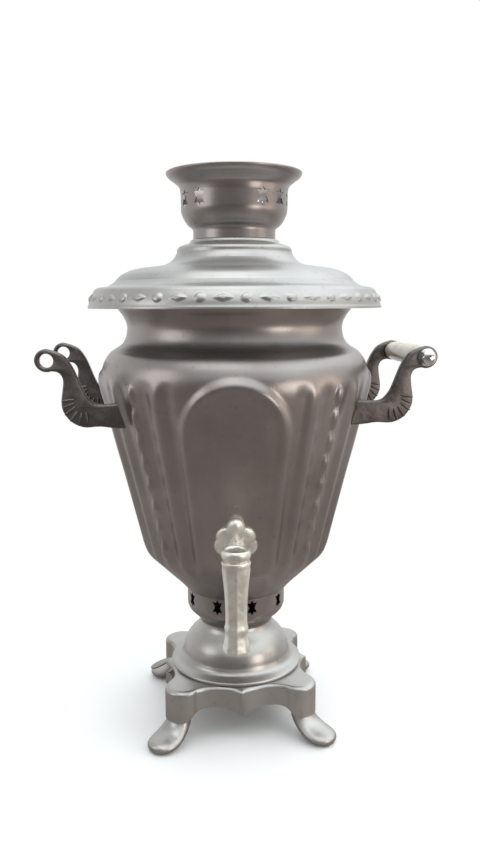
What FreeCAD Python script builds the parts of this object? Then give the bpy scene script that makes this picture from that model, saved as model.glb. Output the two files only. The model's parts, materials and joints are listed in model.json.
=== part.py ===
import FreeCAD, Part
import Sketcher
import math
import os

from FreeCAD import Placement, Rotation, Vector

# Charcoal samovar in millimetres. +Z is up, the front with the tap looks along -Y,
# and the origin is on the axis at the level of the feet's soles.

driving = {
    # sheet metal
    "sheetWall": 1.2,
    "seatGap": 0.3,
    # vessel: radii and heights of its turned form
    "vesselTurn": -4.5,
    "floorZ": 125.0,
    "floorRadius": 46.8,
    "bowlRadius": 78.4,
    "bowlZ": 157.5,
    "taperFootRadius": 84.0,
    "taperFootZ": 170.0,
    "taperTopRadius": 116.3,
    "taperTopZ": 302.0,
    "bellyRadius": 120.0,
    "bellyZ": 323.0,
    "shoulderRadius": 112.5,
    "shoulderZ": 343.5,
    "neckRadius": 96.2,
    "neckZ": 366.0,
    "rimRadius": 110.0,
    "rimZ": 404.4,
    # embossing, four times round
    "panelRise": 1.6,
    "panelHalfAngle": 21.5,
    "panelFootZ": 160.0,
    "panelSpringZ": 287.0,
    "ribRise": 1.7,
    "ribTopZ": 318.0,
    "ribFootZ": 168.0,
    "ribTopThickness": 6.4,
    "ribFootThickness": 4.6,
    "sideRibAngle": 13.3,
    "beadPitch": 19.6,
    "beadFirstZ": 176.0,
    "beadHalfLength": 8.2,
    "beadHalfWidth": 4.6,
    "beadRise": 2.6,
    # fire tube and grate
    "tubeFootRadius": 36.0,
    "tubeTopRadius": 31.0,
    "tubeTopZ": 446.0,
    "tubeCollar": 2.4,
    "tubeWall": 1.5,
    "grateLedge": 4.5,
    "grateThickness": 4.0,
    "grateSlot": 4.6,
    "grateBar": 4.4,
    # lid
    "lidFootZ": 383.0,
    "lidEdgeRadius": 130.1,
    "lidBandTopRadius": 124.8,
    "lidBandTopZ": 398.5,
    "lidCoveRadius": 114.0,
    "lidCoveZ": 401.2,
    "lidDomeRadius": 104.4,
    "lidDomeZ": 407.4,
    "lidDomeTopRadius": 88.0,
    "lidDomeTopZ": 417.0,
    "lidConeRadius": 63.0,
    "lidConeZ": 420.2,
    "lidStepRadius": 54.0,
    "lidStepZ": 425.4,
    "lidNeckRadius": 51.0,
    "lidNeckZ": 431.0,
    "lidTorusZ": 436.0,
    "lidTopRadius": 38.6,
    "lidTopZ": 442.2,
    "lidHoleRadius": 34.6,
    "lidRingRadius": 94.0,
    "lidRingDepth": 22.0,
    "lidLift": 80.0,
    # crown
    "crownFootRadius": 36.4,
    "crownNeckZ": 451.0,
    "crownWallRadius": 47.0,
    "crownBulgeZ": 467.5,
    "crownFlareZ": 483.0,
    "crownRimRadius": 59.9,
    "crownRimZ": 497.4,
    "crownTopZ": 500.0,
    "crownStarZ": 475.6,
    "crownStarWidth": 11.6,
    "crownStarHeight": 15.6,
    "crownStarPitch": 25.0,
    "crownTurn": -8.5,
    # vent ring
    "waistRadius": 33.6,
    "waistZ": 91.4,
    "ventFlareRadius": 43.8,
    "ventFlareZ": 103.4,
    "ventRadius": 45.7,
    "ventBandZ": 109.5,
    "ventStarZ": 116.6,
    "ventStarWidth": 9.4,
    "ventStarHeight": 14.4,
    "ventStars": 9,
    "ventTurn": -1.6,
    # base dome
    "domeCoveRadius": 52.0,
    "domeCoveZ": 60.5,
    "domeFlatRadius": 56.0,
    "domeFlatZ": 55.6,
    "domeRimRadius": 59.2,
    # base plate
    "plateTop": 50.0,
    "plateWall": 2.0,
    "plateRound": 3.5,
    "plateHole": 35.0,
    "cuspReach": 68.0,
    "hollowBulge": 0.5543,
    "hollowOffset": 22.0,
    "cornerCentre": 52.0,
    "cornerRadius": 16.0,
    "skirtPointZ": 26.0,
    "skirtArchZ": 33.0,
    "skirtCornerZ": 21.0,
    "skirtLegX": 45.0,
    # feet
    "ankleReach": 71.0,
    "ankleRadius": 11.0,
    "toeReach": 97.0,
    "toeHalfLength": 15.0,
    "toeHalfWidth": 14.6,
    "toeHalfHeight": 7.4,
    "toeZ": 6.4,
    # ash pan
    "panLength": 94.0,
    "panWidth": 58.0,
    "panDepth": 9.0,
    "panWall": 1.0,
    "panClearance": 0.4,
    "panTravel": 60.0,
    "runnerLip": 4.0,
    "tabY": 12.0,
    "tabWidth": 11.5,
    "tabLength": 19.0,
    "tabDroop": 24.0,
    # tap
    "tapReach": 138.4,
    "tapTopZ": 193.0,
    "tapFootZ": 120.0,
    "tapShankZ": 180.0,
    "tapShankRadius": 7.5,
    "tapBore": 4.2,
    "barrelTopRadius": 12.6,
    "barrelWaistRadius": 10.4,
    "spoutNeckRadius": 9.5,
    "spoutNeckZ": 139.3,
    "spoutBeadRadius": 10.6,
    "spoutFootRadius": 12.0,
    "plugTopRadius": 9.2,
    "plugFootRadius": 6.9,
    "plugFootZ": 158.0,
    "plugClearance": 0.05,
    "plugRingRadius": 11.6,
    "plugRingThickness": 7.4,
    "plugNeckHeight": 1.6,
    "socketRadius": 7.6,
    "socketDepth": 13.0,
    "shieldRadius": 17.4,
    "shieldZ": 191.0,
    "shieldThickness": 5.0,
    "noseRadius": 7.4,
    "noseZ": 208.0,
    "tapNutRadius": 13.0,
    "tapNutThickness": 6.0,
    "gasketRadius": 15.0,
    "gasketThickness": 2.0,
    # handles
    "eyeReach": 160.2,
    "eyeSpread": 53.3,
    "eyeZ": 340.9,
    "eyeRadius": 9.6,
    "eyeHole": 5.9,
    "bracketThickness": 8.6,
    "studRadius": 3.0,
    "studZ": 293.0,
    "studLength": 17.0,
    "washerRadius": 8.0,
    "nutRadius": 5.8,
    "nutThickness": 4.0,
    "gripRadius": 8.8,
    "gripEndRadius": 7.4,
    "rodRadius": 5.8,
    "capRadius": 6.8,
    "capHeight": 6.6,
    "capFlange": 1.6,
}

os.makedirs("parts", exist_ok=True)
doc = FreeCAD.newDocument("Samovar")
sheet = doc.addObject("Spreadsheet::Sheet", "Sizes")
for row, (alias, number) in enumerate(driving.items(), start=1):
    sheet.set("A%d" % row, alias)
    sheet.set("B%d" % row, str(number))
    sheet.setAlias("B%d" % row, alias)
doc.recompute()


class Size:
    """A length or angle that keeps both its number and the sheet formula behind it."""

    def __init__(self, number, formula):
        self.number = float(number)
        self.formula = formula

    def join(self, other, sign, number):
        return Size(number, "(%s %s %s)" % (self.formula, sign, plain(other).formula))

    def __add__(self, other):
        return self.join(other, "+", self.number + plain(other).number)

    def __sub__(self, other):
        return self.join(other, "-", self.number - plain(other).number)

    def __mul__(self, other):
        return self.join(other, "*", self.number * plain(other).number)

    def __truediv__(self, other):
        return self.join(other, "/", self.number / plain(other).number)

    def __radd__(self, other):
        return plain(other) + self

    def __rsub__(self, other):
        return plain(other) - self

    def __rmul__(self, other):
        return plain(other) * self

    def __neg__(self):
        return plain(0) - self


def plain(value):
    if isinstance(value, Size):
        return value
    return Size(value, repr(float(value)))


def root(value):
    return Size(math.sqrt(value.number), "sqrt(%s)" % value.formula)


class Sheet:
    """Reads one named cell of the sheet as a Size."""

    def __getattr__(self, alias):
        return Size(sheet.get(alias), "Sizes." + alias)


the = Sheet()


def bind(thing, path, size):
    """Ties one property of a document object to the sheet."""
    size = plain(size)
    if hasattr(thing, path):
        setattr(thing, path, size.number)
    thing.setExpression(path, size.formula)


def place(thing, x=0, y=0, z=0, axis=Vector(0, 0, 1), turn=0):
    """Puts an object at x, y, z, turned about axis, with each number tied to the sheet."""
    spot = Vector(plain(x).number, plain(y).number, plain(z).number)
    thing.Placement = Placement(spot, Rotation(axis, plain(turn).number))
    for path, size in (("Base.x", x), ("Base.y", y), ("Base.z", z), ("Rotation.Angle", turn)):
        if isinstance(size, Size):
            thing.setExpression("Placement." + path, size.formula)


def sketchOn(body, name, plane, offset=None):
    sketch = body.newObject("Sketcher::SketchObject", name)
    origin = [item for item in body.Origin.OriginFeatures if item.Role == plane][0]
    sketch.AttachmentSupport = (origin, [""])
    sketch.MapMode = "FlatFace"
    if offset is not None:
        sketch.AttachmentOffset = offset
    return sketch


def drawOutline(sketch, points):
    """Draws a closed outline and ties every corner to the sheet.

    Each point is x, y and the bulge of the edge that leaves it: 0 is a straight line,
    and a bulge is the tangent of a quarter of the arc's angle, positive to the right.
    """
    ties = []
    formulas = []
    edges = []
    count = len(points)
    for index, (x, y, bulge) in enumerate(points):
        nextX, nextY = points[(index + 1) % count][:2]
        start = Vector(plain(x).number, plain(y).number, 0)
        end = Vector(plain(nextX).number, plain(nextY).number, 0)
        if bulge:
            run = end - start
            side = Vector(run.y, -run.x, 0) * (bulge / 2.0)
            middle = (start + end) * 0.5 + side
            edge = sketch.addGeometry(Part.Arc(start, middle, end), False)
            first = 1 if (sketch.getPoint(edge, 1) - start).Length < 1e-6 else 2
        else:
            edge = sketch.addGeometry(Part.LineSegment(start, end), False)
            first = 1
        edges.append((edge, first, 3 - first))
    for index, (edge, first, last) in enumerate(edges):
        following = edges[(index + 1) % count]
        ties.append(Sketcher.Constraint("Coincident", edge, last, following[0], following[1]))
        formulas.append(None)
    for index, (x, y, bulge) in enumerate(points):
        edge, first, last = edges[index]
        for direction, size in (("DistanceX", plain(x)), ("DistanceY", plain(y))):
            ties.append(Sketcher.Constraint(direction, -1, 1, edge, first, size.number))
            formulas.append(size.formula)
        if bulge:
            nextX, nextY = points[(index + 1) % count][:2]
            runX, runY = plain(nextX) - x, plain(nextY) - y
            share = (1 + bulge * bulge) / (4 * abs(bulge))
            radius = root(runX * runX + runY * runY) * share
            ties.append(Sketcher.Constraint("Radius", edge, radius.number))
            formulas.append(radius.formula)
    sketch.addConstraint(ties)
    for index, formula in enumerate(formulas):
        if formula is not None:
            sketch.setExpression("Constraints[%d]" % index, formula)
    return sketch


def sheetOutline(chain, wall):
    """Closed outline of bent sheet: the outer chain, and the same chain moved in by the wall.

    Each point of the chain is radius, height, bulge, and how far the inner side moves in r and z.
    """
    outer = [(r, z, bulge) for r, z, bulge, inR, inZ in chain]
    outer[-1] = (outer[-1][0], outer[-1][1], 0)
    inner = []
    for index in range(len(chain) - 1, -1, -1):
        r, z, bulge, inR, inZ = chain[index]
        back = -chain[index - 1][2] if index else 0
        inner.append((plain(r) - inR * wall, plain(z) - inZ * wall, back))
    return outer + inner


def turned(name, points):
    """A body turned about the Z axis from a closed outline of radius and height."""
    body = doc.addObject("PartDesign::Body", name)
    sketch = drawOutline(sketchOn(body, name + "_outline", "XZ_Plane"), points)
    revolution = body.newObject("PartDesign::Revolution", name + "_turning")
    revolution.Profile = sketch
    revolution.ReferenceAxis = (sketch, ["V_Axis"])
    revolution.Angle = 360.0
    sketch.Visibility = False
    return body


def primitive(kind, name, **properties):
    thing = doc.addObject("Part::" + kind, name)
    for path, size in properties.items():
        bind(thing, path, size)
    return thing


def boolean(kind, name, base, tool):
    thing = doc.addObject("Part::" + kind, name)
    thing.Base = base
    thing.Tool = tool
    return thing


def fused(name, pieces):
    thing = doc.addObject("Part::MultiFuse", name)
    thing.Shapes = pieces
    return thing


def grouped(name, pieces):
    thing = doc.addObject("Part::Compound", name)
    thing.Links = pieces
    return thing


def starOutline(width, height, midZ):
    """Six-pointed star, drawn out upwards, with one point at the top."""
    points = []
    for step in range(12):
        angle = math.radians(90 - 30 * step)
        reach = 0.5 if step % 2 == 0 else 0.31
        points.append((width * (reach * math.cos(angle) * 1.155), midZ + height * (reach * math.sin(angle)), 0))
    return points


def pocketRound(body, name, outline, depth, count, turn=0.0):
    """Cuts an outline from the axis out through the front wall, and repeats it round the axis."""
    offset = Placement(Vector(0, 0, 0), Rotation(Vector(0, 1, 0), turn))
    sketch = drawOutline(sketchOn(body, name + "_outline", "XZ_Plane", offset), outline)
    pocket = body.newObject("PartDesign::Pocket", name + "_cut")
    pocket.Profile = sketch
    pocket.Type = "Length"
    bind(pocket, "Length", depth)
    pocket.Reversed = True
    pattern = body.newObject("PartDesign::PolarPattern", name + "_round")
    pattern.Originals = [pocket]
    axis = [item for item in body.Origin.OriginFeatures if item.Role == "Z_Axis"][0]
    pattern.Axis = (axis, [""])
    pattern.Angle = 360.0
    pattern.Occurrences = int(plain(count).number)
    if isinstance(count, Size):
        pattern.setExpression("Occurrences", count.formula)
    body.Tip = pattern
    return pattern


wall = the.sheetWall


# Lid: turned sheet with a flaring ornament band, a cove, a dome step, a cone and a collar
lidChain = [
    (the.lidEdgeRadius, the.lidFootZ, 0, 1, 0),
    (the.lidEdgeRadius - 0.7, the.lidFootZ + 3.0, 0.06, 1, 0),
    (the.lidBandTopRadius, the.lidBandTopZ, -0.2, 1, 0.6),
    (the.lidCoveRadius, the.lidCoveZ, 0.12, 0.2, 1),
    (the.lidDomeRadius, the.lidDomeZ, 0.1, 0.6, 0.9),
    (the.lidDomeTopRadius, the.lidDomeTopZ, -0.04, 0.1, 1),
    (the.lidConeRadius, the.lidConeZ, -0.08, 0.3, 1),
    (the.lidStepRadius, the.lidStepZ, 0, 0.7, 0.7),
    (the.lidNeckRadius, the.lidNeckZ, 0.25, 1, 0.3),
    (the.lidNeckRadius - 1.6, the.lidTorusZ, 0.12, 0.9, 0.6),
    (the.lidTopRadius, the.lidTopZ, 0, 0.2, 1),
    (the.lidHoleRadius, the.lidTopZ, 0, 0, 1),
]
lidOutline = sheetOutline(lidChain, wall)
ringTop = the.lidDomeZ + 3.0

# Everything above the lid's underside, less the seat gap: trims what carries the lid
lidOver = turned("lid_over", [(r, z - the.seatGap, bulge) for r, z, bulge in lidOutline[len(lidChain):]]
                 + [(the.lidEdgeRadius - wall, the.crownTopZ, 0), (the.lidHoleRadius, the.crownTopZ, 0)])

# Vessel: a turned form, with the same chain grown for the raised panels and shrunk for the water space
def vesselChain(grow):
    return [
        (the.floorRadius + grow, the.floorZ, -0.02),
        (the.bowlRadius + grow, the.bowlZ, 0.12),
        (the.taperFootRadius + grow, the.taperFootZ, 0),
        (the.taperTopRadius + grow, the.taperTopZ, 0.05),
        (the.bellyRadius + grow, the.bellyZ, 0.22),
        (the.shoulderRadius + grow, the.shoulderZ, -0.12),
        (the.neckRadius + grow, the.neckZ, -0.16),
        (the.rimRadius + grow, the.rimZ, 0),
    ]


def taperRadius(z):
    """Radius of the straight taper at a height."""
    slope = (the.taperTopRadius - the.taperFootRadius) / (the.taperTopZ - the.taperFootZ)
    return the.taperFootRadius + (plain(z) - the.taperFootZ) * slope


def solidForm(name, chain, footZ, topZ):
    return turned(name, chain + [(0, topZ, 0), (0, footZ, 0)])


vesselForm = solidForm("vessel_form", vesselChain(0), the.floorZ, the.rimZ)
waterChain = vesselChain(-wall)
waterChain[0] = (the.floorRadius - wall * 0.2, the.floorZ + wall, -0.02)
waterSpace = solidForm("water_space", waterChain, the.floorZ + wall, the.rimZ)

# Arched panels: the grown form, kept only where an arch-shaped prism passes through it
panelForm = solidForm("panel_form", vesselChain(the.panelRise), the.floorZ, the.rimZ)
archBody = doc.addObject("PartDesign::Body", "panel_arches")
halfWidth = math.sin(math.radians(the.panelHalfAngle.number))
footHalf = taperRadius(the.panelFootZ) * halfWidth
springHalf = taperRadius(the.panelSpringZ) * halfWidth
archPoints = [
    (-footHalf, the.panelFootZ, 0),
    (-springHalf, the.panelSpringZ, -0.88),
    (springHalf, the.panelSpringZ, 0),
    (footHalf, the.panelFootZ, 0),
]
archSketch = drawOutline(sketchOn(archBody, "arch_outline", "XZ_Plane"), archPoints)
archPad = archBody.newObject("PartDesign::Pad", "arch_pad")
archPad.Profile = archSketch
bind(archPad, "Length", the.bellyRadius + the.panelRise * 4)
archPattern = archBody.newObject("PartDesign::PolarPattern", "arch_round")
archPattern.Originals = [archPad]
archPattern.Axis = ([item for item in archBody.Origin.OriginFeatures if item.Role == "Z_Axis"][0], [""])
archPattern.Angle = 360.0
archPattern.Occurrences = 4
archBody.Tip = archPattern
panels = boolean("Common", "raised_panels", panelForm, archBody)

# Ribs between the panels: half-round bars sunk into the taper, and a column of oval bosses
embossing = [vesselForm, panels]
taperTilt = math.degrees(math.atan2(driving["taperTopRadius"] - driving["taperFootRadius"],
                                    driving["taperTopZ"] - driving["taperFootZ"]))


def onTaper(thing, z, sink, angle):
    """Stands a piece on the taper at a height, leaning with the wall, sunk in, and turned about Z."""
    radius = taperRadius(z) - sink
    heading = math.radians(angle.number)
    lean = Rotation(Vector(0, 0, 1), angle.number).multiply(Rotation(Vector(0, 1, 0), taperTilt))
    thing.Placement = Placement(Vector(0, 0, 0), lean)
    spot = {"x": radius * math.cos(heading), "y": radius * math.sin(heading), "z": plain(z)}
    for key, size in spot.items():
        thing.setExpression("Placement.Base." + key, size.formula)
    base = Vector(spot["x"].number, spot["y"].number, spot["z"].number)
    thing.Placement = Placement(base, lean)


ribLength = (the.ribTopZ - the.ribFootZ) / math.cos(math.radians(taperTilt))
for quarter in range(4):
    for side in (-1, 0, 1):
        angle = plain(45 + 90 * quarter) + the.sideRibAngle * side
        tag = "rib_%d_%d" % (quarter + 1, side + 2)
        sink = the.ribFootThickness - the.ribRise
        bar = primitive("Cone", tag, Radius1=the.ribFootThickness, Radius2=the.ribTopThickness, Height=ribLength)
        onTaper(bar, the.ribFootZ, sink, angle)
        embossing.append(bar)
        foot = primitive("Sphere", tag + "_foot", Radius=the.ribFootThickness)
        onTaper(foot, the.ribFootZ, sink, angle)
        embossing.append(foot)
        top = primitive("Sphere", tag + "_top", Radius=the.ribTopThickness * 0.99)
        onTaper(top, the.ribTopZ, sink, angle)
        embossing.append(top)
    for step in range(8):
        bead = primitive("Ellipsoid", "bead_%d_%d" % (quarter + 1, step + 1), Radius1=the.beadHalfLength,
                         Radius2=the.beadRise * 1.6, Radius3=the.beadHalfWidth)
        bead.Angle1, bead.Angle2, bead.Angle3 = -90, 90, 360
        onTaper(bead, the.beadFirstZ + the.beadPitch * step, the.beadRise * 0.6 - the.ribRise, plain(45 + 90 * quarter))
        embossing.append(bead)

vesselSolid = fused("vessel_solid", embossing)
vesselOpen = boolean("Cut", "vessel_open", vesselSolid, fused("vessel_trim", [waterSpace, lidOver]))
tubeHole = primitive("Cylinder", "tube_hole", Radius=the.tubeFootRadius + the.seatGap, Height=the.floorZ)
place(tubeHole, z=the.floorZ - wall * 10)
shankHole = primitive("Cylinder", "shank_hole", Radius=the.tapShankRadius + the.plugClearance, Height=the.tapReach)
place(shankHole, z=the.tapShankZ, axis=Vector(1, 0, 0), turn=90)


def bracketHeading(signX, signY):
    """Direction in degrees of a bracket's stud, square to the vessel's wall."""
    across = driving["eyeSpread"]
    along = math.sqrt(taperRadius(the.studZ).number ** 2 - across ** 2)
    return math.degrees(math.atan2(signY * across, signX * along))


sides = {"front_left": (-1, -1), "back_left": (-1, 1), "front_right": (1, -1), "back_right": (1, 1)}


def stud(name, radius, signX, signY, start, length):
    """A cylinder along a bracket's stud, from a distance off the axis outwards."""
    rod = primitive("Cylinder", name, Radius=radius, Height=length)
    heading = bracketHeading(signX, signY)
    lying = Rotation(Vector(0, 0, 1), heading).multiply(Rotation(Vector(0, 1, 0), 90))
    spot = Vector(start * math.cos(math.radians(heading)), start * math.sin(math.radians(heading)), driving["studZ"])
    rod.Placement = Placement(spot, lying)
    rod.setExpression("Placement.Base.z", the.studZ.formula)
    return rod


studStart = taperRadius(the.studZ).number - driving["studLength"] + 4.0
studHoles = fused("stud_holes", [
    stud("stud_hole_" + side, the.studRadius + the.plugClearance, signX, signY, studStart, the.studLength * 2)
    for side, (signX, signY) in sides.items()])
place(studHoles, turn=-the.vesselTurn)
vesselHoles = fused("vessel_holes", [tubeHole, shankHole, studHoles])
bodyShell = boolean("Cut", "body_shell", vesselOpen, vesselHoles)
place(bodyShell, turn=the.vesselTurn)

# Fire tube: foot ledge for the grate, long taper, rolled collar at the top
tubeChain = [
    (the.tubeFootRadius - the.tubeWall - the.grateLedge, the.floorZ - 0.2, 0, 0, -1),
    (the.tubeFootRadius, the.floorZ - 0.2, 0, 1, -1),
    (the.tubeTopRadius, the.tubeTopZ - the.tubeCollar, 0.9, 1, 0),
    (the.tubeTopRadius, the.tubeTopZ + the.tubeCollar, 0, 1, 0),
]
fireTube = turned("fire_tube", sheetOutline(tubeChain, the.tubeWall))

# Grate: a cast disc with bars, lying on the tube's ledge
grateRadius = the.tubeFootRadius - the.tubeWall - the.seatGap * 2
grateBody = doc.addObject("PartDesign::Body", "grate")
grateSketch = sketchOn(grateBody, "grate_outline", "XY_Plane")
grateSketch.addGeometry(Part.Circle(Vector(0, 0, 0), Vector(0, 0, 1), grateRadius.number), False)
grateSketch.addConstraint(Sketcher.Constraint("Coincident", 0, 3, -1, 1))
grateSketch.addConstraint(Sketcher.Constraint("Radius", 0, grateRadius.number))
grateSketch.setExpression("Constraints[1]", grateRadius.formula)
gratePad = grateBody.newObject("PartDesign::Pad", "grate_disc")
gratePad.Profile = grateSketch
bind(gratePad, "Length", the.grateThickness)
slotSketch = sketchOn(grateBody, "slot_outline", "XY_Plane")
grateStep = the.grateSlot + the.grateBar
for index in (-2, -1, 0, 1, 2):
    middle = grateStep * index
    reach = root((grateRadius - the.grateBar) * (grateRadius - the.grateBar) - middle * middle) - the.grateSlot
    half = the.grateSlot / 2
    corners = [(middle - half, -reach), (middle + half, -reach), (middle + half, reach), (middle - half, reach)]
    first = slotSketch.GeometryCount
    for number, (x, y) in enumerate(corners):
        nextX, nextY = corners[(number + 1) % 4]
        line = Part.LineSegment(Vector(x.number, y.number, 0), Vector(nextX.number, nextY.number, 0))
        slotSketch.addGeometry(line, False)
    for number, (x, y) in enumerate(corners):
        slotSketch.addConstraint(Sketcher.Constraint("Coincident", first + number, 2, first + (number + 1) % 4, 1))
    for number, (x, y) in enumerate(corners):
        for direction, size in (("DistanceX", x), ("DistanceY", y)):
            tie = slotSketch.addConstraint(Sketcher.Constraint(direction, -1, 1, first + number, 1, size.number))
            slotSketch.setExpression("Constraints[%d]" % tie, size.formula)
slotPocket = grateBody.newObject("PartDesign::Pocket", "grate_slots")
slotPocket.Profile = slotSketch
slotPocket.Type = "ThroughAll"
slotPocket.Reversed = True
grateBody.Tip = slotPocket
place(grateBody, z=the.floorZ - 0.2 + the.tubeWall + 0.1)

# Lid: its ring is trimmed to the underside
lid = turned("lid", lidOutline)
ringBlank = turned("lid_ring_blank", [
    (the.lidRingRadius, ringTop - the.lidRingDepth, 0),
    (the.lidRingRadius, ringTop + the.lidRingDepth, 0),
    (the.lidRingRadius - wall, ringTop + the.lidRingDepth, 0),
    (the.lidRingRadius - wall, ringTop - the.lidRingDepth, 0),
])
lidRing = boolean("Cut", "lid_ring", ringBlank, lidOver)

# Crown: neck, bulge, star wall and flaring rim
crownFootZ = the.lidTopZ + the.seatGap
crownChain = [
    (the.crownFootRadius, crownFootZ, 0, 1, 0),
    (the.crownFootRadius, the.crownNeckZ, 0.24, 1, 0),
    (the.crownWallRadius, the.crownBulgeZ, 0, 1, 0),
    (the.crownWallRadius, the.crownFlareZ, -0.17, 1, 0),
    (the.crownRimRadius - 0.4, the.crownRimZ, 0.2, 0.8, 0),
    (the.crownRimRadius, the.crownTopZ, 0, 1.6, 0),
]
crown = turned("crown", sheetOutline(crownChain, wall))
crownStar = starOutline(the.crownStarWidth, the.crownStarHeight, the.crownStarZ)
for index in (-1, 0, 1):
    turn = driving["crownStarPitch"] * index + 60.0
    pocketRound(crown, "crown_star_%d" % (index + 2), crownStar, the.crownRimRadius, 3, turn)
place(crown, turn=the.crownTurn)

# Vent ring with its stars
ventChain = [
    (the.waistRadius, the.waistZ, 0.03, 1, 0),
    (the.ventFlareRadius, the.ventFlareZ, 0.18, 0.9, -0.3),
    (the.ventRadius, the.ventBandZ, 0, 1, 0),
    (the.ventRadius, the.floorZ - 0.1, 0, 1, 0),
]
ventRing = turned("vent_ring", sheetOutline(ventChain, wall))
ventStar = starOutline(the.ventStarWidth, the.ventStarHeight, the.ventStarZ)
pocketRound(ventRing, "vent_star", ventStar, the.ventRadius * 1.2, the.ventStars, 20.0)
place(ventRing, turn=the.ventTurn + the.vesselTurn)

# Base dome: rolled rim, flat, cove and dome up to the waist
domeFootZ = the.plateTop + 0.1
domeChain = [
    (the.domeRimRadius, domeFootZ, 0.7, 0, -0.01),
    (the.domeRimRadius, domeFootZ + 4.6, 0, 0.4, 1),
    (the.domeFlatRadius, the.domeFlatZ, -0.2, 0.6, 1),
    (the.domeCoveRadius, the.domeCoveZ, 0.22, 1, 0.3),
    (the.waistRadius, the.waistZ - 0.1, 0, 1, 0),
]
domeOutline = [
    (the.domeRimRadius - 3.0, domeFootZ, 0),
    (the.domeRimRadius, domeFootZ, 0.7),
    (the.domeRimRadius, domeFootZ + 4.6, 0),
    (the.domeFlatRadius, domeFootZ + 5.0, -0.2),
    (the.domeCoveRadius, the.domeCoveZ, 0.22),
    (the.waistRadius, the.waistZ - 0.1, 0),
    (the.waistRadius - wall, the.waistZ - 0.1, -0.22),
    (the.domeCoveRadius - wall, the.domeCoveZ - wall * 0.3, 0.2),
    (the.domeRimRadius - 3.0, domeFootZ + 5.0 - wall, 0),
]
baseDome = turned("base_dome", domeOutline)


# Base plate: one pressed sheet with a scalloped outline, a skirt and a hollow underneath
quarterTurn = [(1, 0, 0, 1), (0, -1, 1, 0), (-1, 0, 0, -1), (0, 1, -1, 0)]


def scallop(inset):
    """Outline of the plate, round its four sides: cusp, hollow, corner arc, hollow."""
    corner = the.cornerRadius - inset
    centre = the.cornerCentre
    cusp = the.cuspReach - inset * 1.25
    reach = corner * 0.7071
    hollow = -driving["hollowBulge"]
    side = [
        (plain(0), -cusp, hollow),
        (centre - reach, -centre - reach, 0.4142),
        (centre + reach, -centre - reach, 0.4142),
        (centre + reach, -centre + reach, hollow),
    ]
    points = []
    for xx, xy, yx, yy in quarterTurn:
        for x, y, bulge in side:
            points.append((turnPart(x, y, xx, xy), turnPart(x, y, yx, yy), bulge))
    return points


def turnPart(x, y, shareX, shareY):
    """One coordinate of a quarter turn, with shares of 1, 0 or -1."""
    if shareX:
        return plain(x) * shareX
    return plain(y) * shareY


def levelSketch(body, name, z):
    """An empty sketch on the level plane at a height."""
    sketch = sketchOn(body, name, "XY_Plane", Placement(Vector(0, 0, z.number), Rotation()))
    sketch.setExpression("AttachmentOffset.Base.z", z.formula)
    return sketch


plateBody = doc.addObject("PartDesign::Body", "plate_form")
plateLevels = [(the.skirtCornerZ, 0.0), (the.plateTop - the.plateRound, 0.0),
               (the.plateTop - the.plateRound * 0.62, 0.08), (the.plateTop - the.plateRound * 0.29, 0.29),
               (the.plateTop - the.plateRound * 0.08, 0.62), (the.plateTop, 1.0)]
plateSketches = [drawOutline(levelSketch(plateBody, "plate_level_%d" % (number + 1), z), scallop(the.plateRound * share))
                 for number, (z, share) in enumerate(plateLevels)]
plateLoft = plateBody.newObject("PartDesign::AdditiveLoft", "plate_loft")
plateLoft.Profile = plateSketches[0]
plateLoft.Sections = plateSketches[1:]
plateLoft.Ruled = True
plateBody.Tip = plateLoft
hollowBody = doc.addObject("PartDesign::Body", "plate_hollow")
hollowSketch = drawOutline(sketchOn(hollowBody, "hollow_outline", "XY_Plane"), scallop(the.plateWall))
hollowPad = hollowBody.newObject("PartDesign::Pad", "hollow_pad")
hollowPad.Profile = hollowSketch
bind(hollowPad, "Length", the.plateTop - the.plateWall)
hollowBody.Tip = hollowPad


def skirtCutter(name, turn):
    """A long prism that shapes the lower edge of two opposite skirts."""
    body = doc.addObject("PartDesign::Body", name)
    leg = the.skirtLegX
    points = [
        (-leg, plain(1), 0),
        (-leg, the.skirtCornerZ + 2.0, 0.3),
        (-leg + 9.0, the.skirtArchZ, 0),
        (-the.hollowOffset * 0.75, the.skirtArchZ, 0.12),
        (plain(0), the.skirtPointZ, 0.12),
        (the.hollowOffset * 0.75, the.skirtArchZ, 0),
        (leg - 9.0, the.skirtArchZ, 0.3),
        (leg, the.skirtCornerZ + 2.0, 0),
        (leg, plain(1), 0),
    ]
    points = [(x, z, -bulge) for x, z, bulge in points]
    sketch = drawOutline(sketchOn(body, name + "_outline", "XZ_Plane"), points)
    pad = body.newObject("PartDesign::Pad", name + "_pad")
    pad.Profile = sketch
    pad.Midplane = True
    bind(pad, "Length", (the.cornerCentre + the.cornerRadius) * 2.4)
    body.Tip = pad
    place(body, turn=turn)
    return body


ashHole = primitive("Cylinder", "ash_hole", Radius=the.plateHole, Height=the.plateTop)
place(ashHole, z=the.plateWall)
panTopZ = the.plateTop - the.plateWall - 2.2
panFootZ = panTopZ - the.panDepth
slotHalf = the.panWidth / 2 + the.panClearance * 2
panSlot = primitive("Box", "pan_slot", Length=the.cuspReach, Width=slotHalf * 2, Height=the.panDepth + the.panClearance * 2)
place(panSlot, x=-the.cuspReach * 1.6, y=-slotHalf, z=panFootZ - the.panClearance)
plateTools = fused("plate_cuts", [hollowBody, skirtCutter("skirt_front_back", 0), skirtCutter("skirt_sides", 90),
                                  ashHole, panSlot])
basePlate = boolean("Cut", "base_plate", plateBody, plateTools)

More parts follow.
